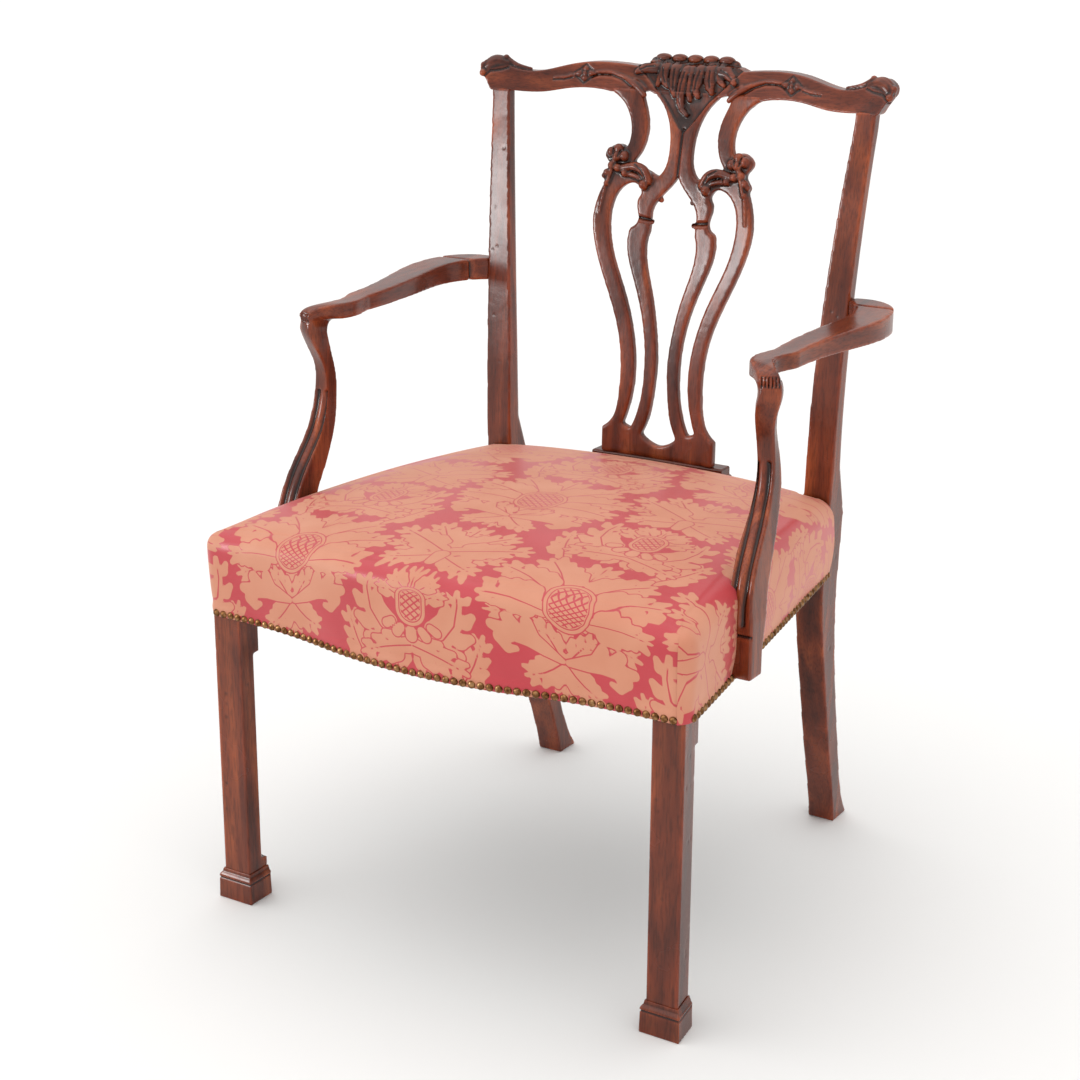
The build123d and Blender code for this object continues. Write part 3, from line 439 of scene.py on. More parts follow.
acanthus = [  # hangs from the crest down over the splat
    (6.5, [(-5, 945, 9), (-8, 935, 8.5), (-9, 922, 7), (-8, 911, 5.6), (-4, 902, 4.2), (3, 896, 2.8)]),
    (5.5, [(2, 945, 9), (1.5, 935, 7.5), (2, 924, 5.6), (4.5, 914, 3.4)]),
    (6.0, [(14, 946, 10), (10.5, 936, 8.5), (9.5, 927, 6), (15, 918, 3.4)]),
    (6.0, [(28, 947, 11), (28, 939, 10), (29, 931, 7), (33, 923.5, 3.6)]),
    (6.0, [(41, 949, 8.5), (49, 947.5, 8), (57, 942, 6), (63, 936, 3.2)]),
    (5.5, [(38, 944, 7), (43, 937, 5), (48, 932.5, 3)]),
    (6.0, [(-20, 947, 10), (-20, 938, 9.5), (-20.5, 928, 6.6), (-16.5, 918, 3.4)]),
    (6.0, [(-35, 948, 10), (-35, 940, 8.8), (-32, 933, 5.6), (-27.5, 928, 3.2)]),
    (5.5, [(-38, 940, 6.5), (-42, 929, 3)]),
    (6.0, [(-46, 950, 8.5), (-56, 949.5, 8), (-64, 947, 6), (-71, 943, 3.2)]),
]
veins = [
    [(-6, 946), (-9, 931), (-9.5, 916), (-5, 904)], [(-1.5, 943), (-2, 926)],
    [(14.5, 948), (11, 936), (10.5, 926)],
    [(28, 949), (28, 939), (30.5, 930)], [(43, 950), (51, 947), (58.5, 941)],
    [(-20.5, 949), (-20.5, 937), (-19, 925)], [(-36, 949), (-35, 941), (-31, 933)],
    [(-48, 951), (-58, 950), (-67, 946)], [(6, 944), (5.5, 930)], [(20.5, 947), (19, 936)],
    [(36, 946), (37.5, 938)], [(-13.5, 946), (-14.5, 932)], [(-28, 948), (-28, 938)],
]
splat_into_crest = 5 * mm  # so that no gap opens at the joint
splat = copy_of("splat", "splat_carved")
for point in splat.data.vertices:
    if abs(point.co.z - crest_joint) < 0.05 * mm:
        point.co.z += splat_into_crest
rosette_buds = [
    (91.5, 847, 1, 6.5), (82.5, 851, 1, 6.8), (74, 843, 1, 6.5), (83, 842, 4, 5.5), (89, 831, 2, 5.5),
    (80, 829, 3.5, 5), (95, 822, 1, 5), (99, 818, 0, 3.5), (70, 823, 3.5, 4.2), (95, 809, 0.5, 3.6),
    (43, 811, 3, 6.2), (29, 767, -3, 3.5), (21.5, 793, -8, 3.6),
]
rosette_leaves = [
    [(76, 828, 2, 4.5), (62, 832, 2, 5.5), (50, 831, 2.5, 6.2), (41, 825, 2.5, 6.2), (37, 816, 2, 5.2)],
    [(72, 822, 1, 3), (58, 823, 2, 3.4), (48, 818, 2, 3)],
    [(85, 838, 3, 3.5), (90, 826, 2, 3.5), (93, 812, 1, 2.5)],
    [(96, 806, 0.4, 1.6), (98.5, 792, 0.4, 1.5), (100.5, 774, 0.2, 1.0)],
]
fuse(splat, [], 1.4 * mm, 14)
carving = []
for side in (1, -1):
    for x, z, out, size in rosette_buds:
        carving.append(bud(on_back(side * x, z, out), (size, size * 0.9, size)))
    for line in rosette_leaves:
        carving += leaf([(on_back(side * x, z, out), size) for x, z, out, size in line])
fuse(splat, carving, 1.3 * mm, 3)
knuckle = [(26, 768.5), (44, 770.5), (58, 772.5)]
rosette_cuts = [
    [(56, 835), (46, 829), (41, 820)], [(88, 852), (86, 843)], [(78, 850), (80, 843)], [(62, 827), (52, 824)],
]
for side in (1, -1):
    gouge(splat, [(side * x, z) for x, z in knuckle], 2.4, 4.6)
    for line in rosette_cuts:
        gouge(splat, [(side * x, z) for x, z in line], 1.0, 2.2)
sink_ground(splat, 2.8)
raise_relief(splat, acanthus)
for line in veins:
    gouge(splat, line, 1.0, 1.4)
gouge(splat, [(0, 878), (0, 818)], 1.5, 3.0)
# Places where the carving is darkened further: painted shade, and wax
shaded_and_waxed = [(84, 836, 22), (50, 824, 17), (94, 815, 10), (0, 908, 30), (0, 888, 14)]
stand_for(splat, upright_mahogany, "mahogany", "splat", shaded_and_waxed=shaded_and_waxed)

# Crest: a serpentine mahogany rail, mortised on to the posts and the splat, that carries on its ribbons.
# Its middle is carved with the acanthus under a row of knobs, its arms with sprays, its ends as leafy ears.
crest_seat = (228 * mm, 914 * mm)  # the ends, from this far out, sit on the posts at this height
crest_pared = (75 * mm, 953 * mm)  # the middle, to this far out, is pared down to this height under the knobs
crest = copy_of("crest_rail", "crest_carved")
for point in crest.data.vertices:
    x, y, z = point.co
    face = on_back(x / mm, z / mm, 0).y
    if y < face - 1 * mm:
        point.co.y = face
    if abs(x) > crest_seat[0] and z < crest_seat[1]:
        point.co.z = crest_seat[1]
    if abs(x) < crest_pared[0] and z > crest_pared[1]:
        point.co.z = crest_pared[1] + 0.15 * (z - crest_pared[1])
spray = [
    [(155, 936, -0.6, 2.8), (161, 933.5, -0.6, 2.2), (167, 932.2, -0.4, 1.5), (181, 931.5, -0.4, 1.2)],
    [
        (131, 938.5, -0.4, 1.6), (121, 941, -0.4, 1.6), (105, 941, -0.4, 1.6),
        (90, 936.5, -0.2, 1.8), (80, 932, 0, 2.2),
    ],
    [(86, 935, -0.2, 2.4), (75, 929.5, 0.2, 4), (66, 923.5, 0.2, 4.2), (58, 916, -0.4, 3.4)],
    [(74, 933, -0.4, 2), (64, 929, -0.2, 3), (58, 923, -0.2, 2.4)],
]
petals = [(149.5, 937.5, 5.6, 4), (132.5, 938, 5.6, 4), (141, 943, 4.4, 4.2), (141.5, 932.5, 4.4, 4.2)]
ear = [
    [(247, 945, -7, 7), (258, 948.5, -7, 9), (268, 945, -7, 9.5), (274, 937, -7, 7), (272, 930, -7, 4)],
    [(250, 945, -15, 6), (262, 948, -15, 8), (272, 940, -15, 7.5)],
    [(248, 951, -5, 4.2), (240, 946.5, -5, 3.4), (229, 943, -4, 2.4), (214, 941, -4, 1.4)],
]
carving = [bud(on_back(x, 959.7, -10), (10.4, 11, 6.0)) for x in (-43, -21.5, 0, 21.5, 43)]
carving += leaf([(on_back(x, 954, -13), 7) for x in (-54, -20, 20, 54)])
for side in (1, -1):
    for line in spray + ear:
        carving += leaf([(on_back(side * x, z, out), size) for x, z, out, size in line])
    for x, z, wide, high in petals:
        carving.append(bud(on_back(side * x, z, -0.6), (wide, 2.6, high)))
    carving.append(bud(on_back(side * 141, 937.7, 0.8), (3, 2, 3)))
    for x, z, out, size in ((275, 934, -1, 4.6), (277, 943, -5, 4.6), (249, 953, -4, 4)):
        carving.append(bud(on_back(side * x, z, out), (size,) * 3))
fuse(crest, carving, 1.1 * mm, 3)
sink_ground(crest, 2.6)
raise_relief(crest, acanthus)
for line in veins:
    gouge(crest, line, 1.0, 1.4)
around_flower = [
    (125, 938), (135, 944), (141, 949), (148, 943.5), (157, 937),
    (148, 931.5), (141.5, 926.5), (134, 932), (125, 938),
]
for side in (1, -1):
    gouge(crest, [(side * x, z) for x, z in around_flower], 1.3, 1.3)
    for line, width, depth in (
        ([(132, 934.5), (121, 937.5), (105, 937.5), (90, 932.5), (76, 924.5), (64, 914)], 1.5, 2.2),
        ([(157, 933), (168, 929.8), (182, 929.2)], 1.2, 1.3),
        ([(276, 927), (266, 936.5), (252, 938.5), (243, 941.5)], 1.4, 1.8),
    ):
        gouge(crest, [(side * x, z) for x, z in line], width, depth)
# Places where the carving is darkened further: painted shade, and wax
shaded_and_waxed = [
    (0, 930, 40), (26, 944, 30), (52, 950, 22), (141, 937.5, 16),
    (266, 945, 20), (66, 924, 13), (245, 950, 10),
]
stand_for(crest, across_mahogany, "mahogany", "crest_rail", shaded_and_waxed=shaded_and_waxed)

# Arms and supports: mahogany, the arms tenoned into the posts and on to supports that sweep forward and out,
# housed over the side rails and screwed from inside. The two are shaped together, so that one runs into
# the other, and then gouged with flutes at the joint, a rib between hollows and a neck by the post.
fore_aft_mahogany = polished_mahogany("polished_mahogany_fore_aft", "Y")
support_top = Vector((299.5, -105.0, 674.0)) * mm
support_twist = radians(24)  # the joint follows the splay of the arm
twist_along = (-30 * mm, 54 * mm)  # where the twist starts on the arm, and the length it takes
twist_up = (560 * mm, 100 * mm)  # and on the support
arm_under = 668 * mm
arm_neck = 183 * mm
joint_reach = 22 * mm  # of the rounding at the joint
supports = []
for side, hand in ((1, "right"), (-1, "left")):
    support = copy_of(f"arm_support_{hand}", f"arm_support_{hand}_shaped")
    for point in support.data.vertices:
        if abs(point.co.z - support_top.z) < 0.05 * mm:
            point.co.z += 2 * mm
    arm = copy_of(f"arm_{hand}", f"arm_{hand}_shaped")
    fuse(arm, [support], 1.4 * mm, 12)
    places, _ = read(arm)
    bend = np.array([side * support_top.x, support_top.y, support_top.z])
    round_off = np.clip(1.7 - np.linalg.norm(places - bend, axis=1) / joint_reach, 0, 1)
    places += (even_out(arm, places, 45) - places) * round_off[:, None]
    put(arm, places)
    for x in (-9, -5.4, -1.8, 1.8, 5.4, 9):
        flute = side * (support_top.x / mm + x)
        gouge(arm, [(flute, 672), (flute, 682)], 1.1, 2.0)
    rib = [(299.5, 428), (299, 462), (297, 500), (293, 541), (291, 585)]
    for off in (-6.5, 6.5):
        gouge(arm, [(side * (x + off), z) for x, z in rib], 2.8, 3.6)
    gouge(arm, [(side * 284, 415), (side * 318, 415)], 1.8, 2.6)
    places, _ = read(arm)
    x, y, z = places.T
    near = np.abs(y - arm_neck) < 3 * mm
    pull = 0.16 * np.exp(-(((y - arm_neck) / (2.2 * mm)) ** 2))
    x += (x[near].mean() - x) * pull
    z += (z[near].mean() - z) * pull
    on_arm, on_support = (twist_along[0] - y) / twist_along[1], (z - twist_up[0]) / twist_up[1]
    turned = np.clip(np.where(z > arm_under, on_arm, on_support), 0, 1)
    angle = side * support_twist * turned**2 * (3 - 2 * turned)
    off_x, off_y = x - side * support_top.x, y - support_top.y
    x += off_x * (np.cos(angle) - 1) - off_y * np.sin(angle)
    y += off_x * np.sin(angle) + off_y * (np.cos(angle) - 1)
    put(arm, places)
    mark_hollows(arm, [])
    support = add(f"arm_support_{hand}_shaped", arm.data.copy())
    for piece, above in ((arm, True), (support, False)):
        pick(piece)
        bpy.ops.object.mode_set(mode="EDIT")
        bpy.ops.mesh.select_all(action="SELECT")
        bpy.ops.mesh.bisect(
            plane_co=support_top, plane_no=(0, 0, 1), clear_inner=above, clear_outer=not above, use_fill=True
        )
        bpy.ops.object.mode_set(mode="OBJECT")
    stand_for(arm, fore_aft_mahogany, "mahogany", f"arm_{hand}")
    stand_for(support, upright_mahogany, "mahogany", f"arm_support_{hand}")
    supports.append(support)


# Webbing and hessian: woven jute, undyed and coarse.
# The webs are stretched over the seat frame in two layers, and the hessian lies over them.
def woven_jute():
    """Coarse jute: dull brown yarns crossing about every 2 mm."""
    material, tree, shader, place = finish_of("woven_jute")
    pitch = pi / (10 * 2 * mm)
    warp, weft = [
        node(tree, "TexWave", {"bands_direction": way}, Vector=place, Scale=pitch, Distortion=0.6)
        for way in "XY"
    ]
    weave = node(tree, "Math", {"operation": "MULTIPLY"}, _0=warp.outputs["Fac"], _1=weft.outputs["Fac"])
    stops = [(0.1, "#5A452C"), (0.7, "#93774F")]
    colour = node(tree, "ValToRGB", {"stops": stops}, Fac=weave)
    bump = node(tree, "Bump", Strength=0.6, Distance=0.5 * mm, Height=weave)
    wire(shader, Base_Color=colour, Normal=bump, Roughness=0.9)
    return material


jute = woven_jute()
for name in ("webbing_fore_aft", "webbing_cross", "hessian"):
    dress(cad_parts[name], jute)

# Seat: crimson silk damask over hair stuffing, drawn down over the rails and close-nailed.
# The cover rolls over the front and side edges, and is folded in a pleat at the right front corner.
front_y = -292 * mm
leg_outer = 308 * mm
leg_inner = 270 * mm
front_bulge = 32 * mm
side_slope = -0.13925
post_front = 186.4 * mm
shoe_front = 194 * mm
post_inner = 205 * mm
cover_bottom = 361 * mm
cover_rear_rise = 8 * mm
rise_from = 34 * mm  # behind the front, where the lower edge starts to rise
tuck_from = 160 * mm  # where the cover starts to reach back between the posts
tuck_side = 4 * mm  # beside each post
crown = (0.0, -60 * mm, 490 * mm, 2400 * mm)  # x, y and height of the crown, and its radius
roll = 25 * mm
swell = 11.5 * mm  # of the cover's widest line beyond the rails
drawn_in = 6.4 * mm  # at the nails
corner_round = 22 * mm
tighter = 7 * mm  # of the roll at the corners
step = 5 * mm


def front_line(x):
    """The serpentine front of the seat frame."""
    half = leg_inner / 2
    radius = (half**2 + (front_bulge / 2) ** 2) / front_bulge
    x = np.abs(x)
    near = -front_bulge + radius - np.sqrt(radius**2 - np.minimum(x, half) ** 2)
    far = -(radius - np.sqrt(radius**2 - np.clip(leg_inner - x, 0, half) ** 2))
    return front_y + np.where(x < half, near, far)


def crown_height(x, y):
    return crown[2] - (x - crown[0]) ** 2 / (2 * crown[3]) - (y - crown[1]) ** 2 / (2 * crown[3])


def walk(points, pieces, axes=2):
    """Points spaced evenly along a line, measured over this many of their columns."""
    run = np.concatenate([[0], np.cumsum(np.linalg.norm(np.diff(points[:, :axes], axis=0), axis=1))])
    at = np.linspace(0, run[-1], pieces + 1)
    return np.stack([np.interp(at, run, points[:, k]) for k in range(points.shape[1])], axis=1)


# Right half of the cover's widest line in plan: front, corner and side, each point with its normal
lean = atan2(-side_slope, 1)
corner_y = front_y - swell + corner_round
corner_x = leg_outer + side_slope * (corner_y - front_y) + (swell - corner_round) / cos(lean)
front_x = np.linspace(0, corner_x, 400)
slope = np.gradient(front_line(front_x), front_x)
tilt = np.sqrt(slope**2 + 1)
front_run = np.stack([front_x, front_line(front_x) - swell, slope / tilt, -1 / tilt], axis=1)
turn = np.linspace(-pi / 2, lean, 60)
outward = np.stack([np.cos(turn), np.sin(turn)], axis=1)
corner_run = np.hstack([np.array((corner_x, corner_y)) + corner_round * outward, outward])
side_y = np.linspace(corner_run[-1, 1], post_front, 400)[1:]
side_x = corner_run[-1, 0] + side_slope * (side_y - corner_run[-1, 1])
side_run = np.stack([side_x, side_y, np.full(399, cos(lean)), np.full(399, sin(lean))], axis=1)
mirror = np.array([-1, 1, -1, 1])
right_front = np.concatenate([front_run, corner_run[1:30]])
right_side = np.concatenate([corner_run[29:], side_run])
across = int(2 * corner_x / step)
along = int((post_front - corner_y) / step)
front_edge = walk(np.concatenate([(right_front * mirror)[::-1], right_front[1:]]), across)
right_edge = walk(right_side, along)
left_edge = (right_edge * mirror)[::-1]
rim = np.concatenate([left_edge, front_edge[1:], right_edge[1:]])
rim[:, 2:] /= np.linalg.norm(rim[:, 2:], axis=1)[:, None]

# Profile of the rolled edge and the drawn-in side: inset from the widest line, and drop from the top
arc = np.linspace(0, pi / 2, 8)
wall = np.linspace(0, 1, 18)[1:]
corner_off = np.hypot(np.abs(rim[:, 0]) - right_edge[0, 0], rim[:, 1] - right_edge[0, 1])
rolls = roll - tighter * np.exp(-((corner_off / (24 * mm)) ** 2))
inner = rim[:, :2] - rim[:, 2:] * rolls[:, None]
top_z = crown_height(inner[:, 0], inner[:, 1])
rise = cover_rear_rise * np.clip((rim[:, 1] - front_y - rise_from) / (post_front - front_y - rise_from), 0, 1)
bottom_z = cover_bottom + rise
columns = len(rim)
sides = []
for bend in arc:
    inset = (rolls * (1 - np.sin(bend)))[:, None]
    sides.append(np.column_stack([rim[:, :2] - rim[:, 2:] * inset, top_z - rolls * (1 - np.cos(bend))]))
for share in wall:
    inset = drawn_in * share**1.7
    z = top_z - rolls + (bottom_z - top_z + rolls) * share
    sides.append(np.column_stack([rim[:, :2] - rim[:, 2:] * inset, z]))
sides = np.array(sides)

# Top of the cover, filled between its four edges
left = sides[0, :along + 1][::-1]
fore = sides[0, along:along + across + 1]
right = sides[0, along + across:]
a = np.linspace(0, 1, across + 1)[:, None, None]
b = np.linspace(0, 1, along + 1)[None, :, None]
rear_x = left[-1, 0] + (right[-1, 0] - left[-1, 0]) * a[:, 0, 0]
rear = np.stack([rear_x, np.full(across + 1, post_front), np.zeros(across + 1)], axis=1)
top = (1 - b) * fore[:, None] + b * rear[:, None] + (1 - a) * left[None] + a * right[None]
top -= (1 - a) * (1 - b) * fore[0] + a * (1 - b) * fore[-1] + (1 - a) * b * rear[0] + a * b * rear[-1]
tuck = np.clip((post_inner - np.abs(top[..., 0])) / tuck_side, 0, 1)
tuck *= np.clip((top[..., 1] - tuck_from) / (post_front - tuck_from), 0, 1)
top[..., 1] += tuck * (shoe_front - post_front)
top[..., 2] = crown_height(top[..., 0], top[..., 1])

points, cloth, faces = [], [], []


def lay(place, u, v):
    """Adds a point of the cover and where it lies on the flat cloth."""
    points.append(place)
    cloth.append((u, v, 0))
    return len(points) - 1


sheet = [[lay(top[i, j], top[i, j, 0], top[i, j, 1]) for j in range(along + 1)] for i in range(across + 1)]
for i in range(across):
    for j in range(along):
        faces.append((sheet[i][j], sheet[i + 1][j], sheet[i + 1][j + 1], sheet[i][j + 1]))
edge = [sheet[0][j] for j in range(along, 0, -1)] + [sheet[i][0] for i in range(across + 1)]
edge += [sheet[across][j] for j in range(1, along + 1)]
down = np.zeros((len(sides), columns))
down[1:] = np.cumsum(np.linalg.norm(np.diff(sides, axis=0), axis=2), axis=0)
round_rim = np.concatenate([[0], np.cumsum(np.linalg.norm(np.diff(rim[:, :2], axis=0), axis=1))])
left_fold = along - 3  # column where the front cloth ends, round the left corner on the side
right_fold = along + across - 2  # and the right-hand fold, on the front


def on_cloth(column, row, front):
    """Where a point of the sides lies on the cloth, going over the front edge or over a side edge."""
    x, y = sides[0, column, :2]
    fall = down[row, column]
    share = min(1.0, fall / (roll * 1.5))
    if front:
        flat = (x, sides[0, min(max(column, along), along + across), 1] - fall)
        if column < along:
            flat = (sides[0, along, 0] - (round_rim[along] - round_rim[column]), flat[1])
    else:
        side = 1 if column > columns / 2 else -1
        flat = (x + side * fall, y)
        if along < column < along + across:
            last = along + across if side > 0 else along
            past = abs(round_rim[last] - round_rim[column])
            flat = (sides[0, last, 0] + side * fall, sides[0, last, 1] - past)
    return (x + (flat[0] - x) * share, y + (flat[1] - y) * share)


fold = 1.6 * mm
previous = None
for column in range(columns):
    runs = []
    for front in (False, True):
        inside = left_fold <= column <= right_fold
        if front != inside and column not in (left_fold, right_fold):
            runs.append(None)
            continue
        line = [edge[column]]
        for row in range(1, len(sides)):
            place = sides[row, column].copy()
            near = abs(column - right_fold)
            if not front and near < 2 and column > columns / 2:
                place[:2] += rim[column, 2:] * fold * (1 - near / 2) * min(1, row / 8)
            line.append(lay(place, *on_cloth(column, row, front)))
        runs.append(line)
    if previous:
        for k in (0, 1):
            if previous[k] and runs[k]:
                for row in range(len(sides) - 1):
                    faces.append((previous[k][row], previous[k][row + 1], runs[k][row + 1], runs[k][row]))
    previous = runs

# The rear edge is tucked down in front of the shoe and the posts
tuck_rows = 9
tuck_step = (top[across // 2, -1, 2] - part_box("rear_rail")[1][2] + 3 * mm) / tuck_rows
for k in range(tuck_rows):
    fresh = []
    for i in range(across + 1):
        x, y, z = top[i, -1]
        fresh.append(lay((x, y + 0.15 * mm * (k + 1), z - tuck_step * (k + 1)), x, y + tuck_step * (k + 1)))
    before = [sheet[i][-1] for i in range(across + 1)] if k == 0 else last_row
    for i in range(across):
        faces.append((before[i], before[i + 1], fresh[i + 1], fresh[i]))
    last_row = fresh

mesh = bpy.data.meshes.new("seat_damask")
mesh.from_pydata([tuple(p) for p in points], [], faces)
mesh.update()
seat = add("seat_damask", mesh)
lie = mesh.attributes.new("lie", "FLOAT_VECTOR", "POINT")
lie.data.foreach_set("vector", np.array(cloth, float).ravel())

# The stuffing swells the cover between the nails, the pleat and the rear edge, in a short cloth simulation
deflate = 2.5 * mm
swell_limit = 4 * mm
nailed_below = cover_bottom + cover_rear_rise + 3 * mm
held = set(last_row) | {sheet[i][-1] for i in range(across + 1)}
held |= {k for k, (x, y, z) in enumerate(points) if z < nailed_below and y < post_front}
start, normals = read(seat)
free = np.ones(len(start))
free[list(held)] = 0
group = seat.vertex_groups.new(name="held")
group.add([int(k) for k in held], 1.0, "REPLACE")
start -= normals * (deflate * free)[:, None]
put(seat, start)
pad = seat.modifiers.new("pad", "CLOTH")
pad.settings.quality = 5
pad.settings.mass = 0.3
pad.settings.tension_stiffness = pad.settings.compression_stiffness = 30
pad.settings.shear_stiffness = 15
pad.settings.bending_stiffness = 1.0
pad.settings.use_pressure = True
pad.settings.uniform_pressure_force = 4
pad.settings.effector_weights.gravity = 0
pad.settings.vertex_group_mass = "held"
pad.collision_settings.use_collision = False
pad.point_cache.frame_start, pad.point_cache.frame_end = 1, 20
for moment in range(1, 21):
    bpy.context.scene.frame_set(moment)
swollen = np.zeros(len(start) * 3)
seat.evaluated_get(bpy.context.evaluated_depsgraph_get()).data.vertices.foreach_get("co", swollen)
lift = np.einsum("ij,ij->i", swollen.reshape(-1, 3) - start, normals)
lift = even_out(seat, np.clip(lift, 0, swell_limit)[:, None], 16)  # the hair lets no crease stand
lift *= free[:, None]
seat.modifiers.remove(pad)
seat.vertex_groups.clear()
bpy.context.scene.frame_set(1)
put(seat, start + normals * lift)

pick(seat)
smooth = seat.modifiers.new("round", "SUBSURF")
smooth.levels = smooth.render_levels = 1
smooth.boundary_smooth = "PRESERVE_CORNERS"
bpy.ops.object.modifier_apply(modifier="round")
bpy.ops.object.shade_smooth()

# The cover is cut round the arm supports, a little inside their faces
for support in supports:
    wood = BVHTree.FromPolygons(
        [point.co for point in support.data.vertices], [face.vertices for face in support.data.polygons]
    )
    bpy.ops.object.mode_set(mode="EDIT")
    bpy.ops.mesh.select_mode(type="FACE")
    bpy.ops.mesh.select_all(action="DESELECT")
    bpy.ops.object.mode_set(mode="OBJECT")
    for face in seat.data.polygons:
        spot, facing, _, depth = wood.find_nearest(face.center)
        face.select = (face.center - spot).dot(facing) < 0 and depth > 2.5 * mm
    bpy.ops.object.mode_set(mode="EDIT")
    bpy.ops.mesh.delete(type="FACE")
    bpy.ops.object.mode_set(mode="OBJECT")

# The damask's figure: a half-drop repeat of a great flower round a diapered dome, and a fruit between leaves.
# Places are in mm from the flower's heart, or from the line of fruits beside it, and both are symmetrical.
repeat = (346.0, 456.0)
flower = (0.0, -309.0)


def acanthus_leaf(layer, spine, width, pairs):
    """A leaf of the figure: a tapering spine with pairs of hooked scallops that shrink to its tip."""
    line = walk(np.array(spine, float), 24)
    for _ in range(30):
        line[1:-1] = (line[:-2] + 2 * line[1:-1] + line[2:]) / 4
    way = np.gradient(line, axis=0)
    way /= np.linalg.norm(way, axis=1)[:, None]
    chains = [[(*line[k], width * (0.46 - 0.014 * k)) for k in (0, 6, 12, 18, 24)]]
    for k in range(pairs):
        at = round(24 * (k + 0.7) / (pairs + 0.5))
        reach = width * (1.0 - 0.5 * k / pairs)
        for side in (1, -1):
            out = side * np.array([-way[at, 1], way[at, 0]])
            bend = line[at] + reach * (0.1 * way[at] + 0.5 * out)
            end = line[at] + reach * (0.62 * way[at] + 0.78 * out)
            chains.append([(*line[at], 0.36 * reach), (*bend, 0.4 * reach), (*end, 0.22 * reach)])
    return layer, chains


def scroll(layer, *chain):
    """A plain scroll or bead of the figure, along (x, y, radius)."""
    return layer, [list(chain)]


flower_leaves = [
    acanthus_leaf(1, [(0, 30), (0, 62), (0, 96)], 28, 3),
    acanthus_leaf(2, [(15, 28), (32, 54), (62, 82)], 29, 4),
    acanthus_leaf(3, [(26, 14), (60, 34), (98, 44)], 28, 4),
    acanthus_leaf(4, [(28, -4), (62, 2), (99, -4)], 26, 4),
    acanthus_leaf(2, [(24, -20), (54, -22), (88, -30)], 19, 3),
    scroll(5, (0, 0, 26), (0, 12, 28)),
    acanthus_leaf(1, [(0, -62), (0, -82), (0, -100)], 17, 2),
    acanthus_leaf(2, [(4, -62), (20, -78), (44, -90)], 19, 3),
    scroll(
        4, (4, -58, 3.5), (24, -52, 8), (42, -46, 11), (60, -46, 11),
        (70, -57, 8.5), (63, -67, 5.5), (54, -64, 3.5),
    ),
    scroll(4, (38, -44, 9), (43, -31, 7)),
    scroll(4, (56, -42, 9), (64, -32, 7)),
    scroll(4, (66, -48, 9), (80, -46, 6)),
    acanthus_leaf(3, [(6, -54), (18, -38), (36, -22)], 15, 3),
    acanthus_leaf(2, [(0, -54), (0, -38), (0, -22)], 13, 2),
]
fruit_leaves = [
    acanthus_leaf(1, [(0, 50), (0, 84), (0, 120)], 24, 4),
    acanthus_leaf(2, [(6, 54), (26, 86), (50, 114)], 24, 4),
    acanthus_leaf(3, [(10, 48), (46, 68), (84, 86)], 24, 4),
    acanthus_leaf(2, [(12, 38), (42, 42), (72, 50)], 20, 3),
    acanthus_leaf(3, [(8, 30), (30, 18), (60, 8)], 20, 3),
    scroll(4, (0, 36, 9), (0, 14, 6)),
    acanthus_leaf(2, [(18, -94), (46, -82), (58, -50), (54, -14)], 27, 4),
    acanthus_leaf(1, [(56, -134), (72, -106), (84, -64)], 20, 4),
    acanthus_leaf(3, [(6, -98), (34, -104), (66, -114)], 20, 3),
    acanthus_leaf(1, [(4, -102), (14, -112), (22, -122)], 13, 2),
    acanthus_leaf(3, [(0, -26), (0, -14), (0, 0)], 15, 2),
    acanthus_leaf(4, [(8, -28), (17, -18), (27, -4)], 14, 2),
    acanthus_leaf(3, [(16, -42), (28, -34), (40, -20)], 14, 2),
    scroll(5, (0, -56, 18), (0, -42, 18)),
    scroll(4, (0, -80, 6), (0, -86, 7)),
    scroll(4, (13, -78, 5), (18, -84, 6)),
    scroll(4, (24, -72, 4.5), (31, -76, 5.5)),
]


def figure_of(u, v):
    """How far in mm each point of the cloth lies outside each layer's nearest leaf, and off its midrib."""
    far, margin = 60.0, 36
    near, rib = np.full((5, len(u)), far), np.full((5, len(u)), far)
    row = np.floor((v - flower[1]) / (repeat[1] / 2) + 0.5)
    for shift in (-1, 0, 1):
        y = v - flower[1] - (row + shift) * repeat[1] / 2
        x = u - flower[0] - repeat[0] / 2 - (row + shift) * repeat[0] / 2
        x = np.abs((x + repeat[0] / 2) % repeat[0] - repeat[0] / 2)
        for px, leaves in ((x, flower_leaves), (repeat[0] / 2 - x, fruit_leaves)):
            for layer, chains in leaves:
                spots = np.array([spot[:2] for chain in chains for spot in chain])
                low, high = spots.min(axis=0) - margin, spots.max(axis=0) + margin
                close = np.nonzero((px > low[0]) & (px < high[0]) & (y > low[1]) & (y < high[1]))[0]
                edge, spine, offset = (np.full(len(close), far) for _ in range(3))
                for k, chain in enumerate(chains):
                    for (x0, y0, r0), (x1, y1, r1) in zip(chain, chain[1:]):
                        ex, ey, dx, dy = px[close] - x0, y[close] - y0, x1 - x0, y1 - y0
                        t = np.clip((ex * dx + ey * dy) / (dx * dx + dy * dy), 0, 1)
                        away = np.hypot(ex - t * dx, ey - t * dy)
                        edge = np.minimum(edge, away - (r0 + (r1 - r0) * t))
                        if k == 0 and len(chains) > 1:
                            across_rib = (ex * dy - ey * dx) / sqrt(dx * dx + dy * dy)
                            offset = np.where(away < spine, across_rib, offset)
                            spine = np.minimum(spine, away)
                better = edge < near[layer - 1][close]
                near[layer - 1][close[better]] = edge[better]
                rib[layer - 1][close[better]] = offset[better]
    return near, rib


flat = np.zeros(len(seat.data.vertices) * 3)
seat.data.attributes["lie"].data.foreach_get("vector", flat)
flat = flat.reshape(-1, 3) / mm
near, rib = figure_of(flat[:, 0], flat[:, 1])
for name, layers in (("lobe", near), ("rib", rib[:4])):
    for layer, values in enumerate(layers, 1):
        seat.data.attributes.new(f"{name}_{layer}", "FLOAT", "POINT").data.foreach_set("value", values)


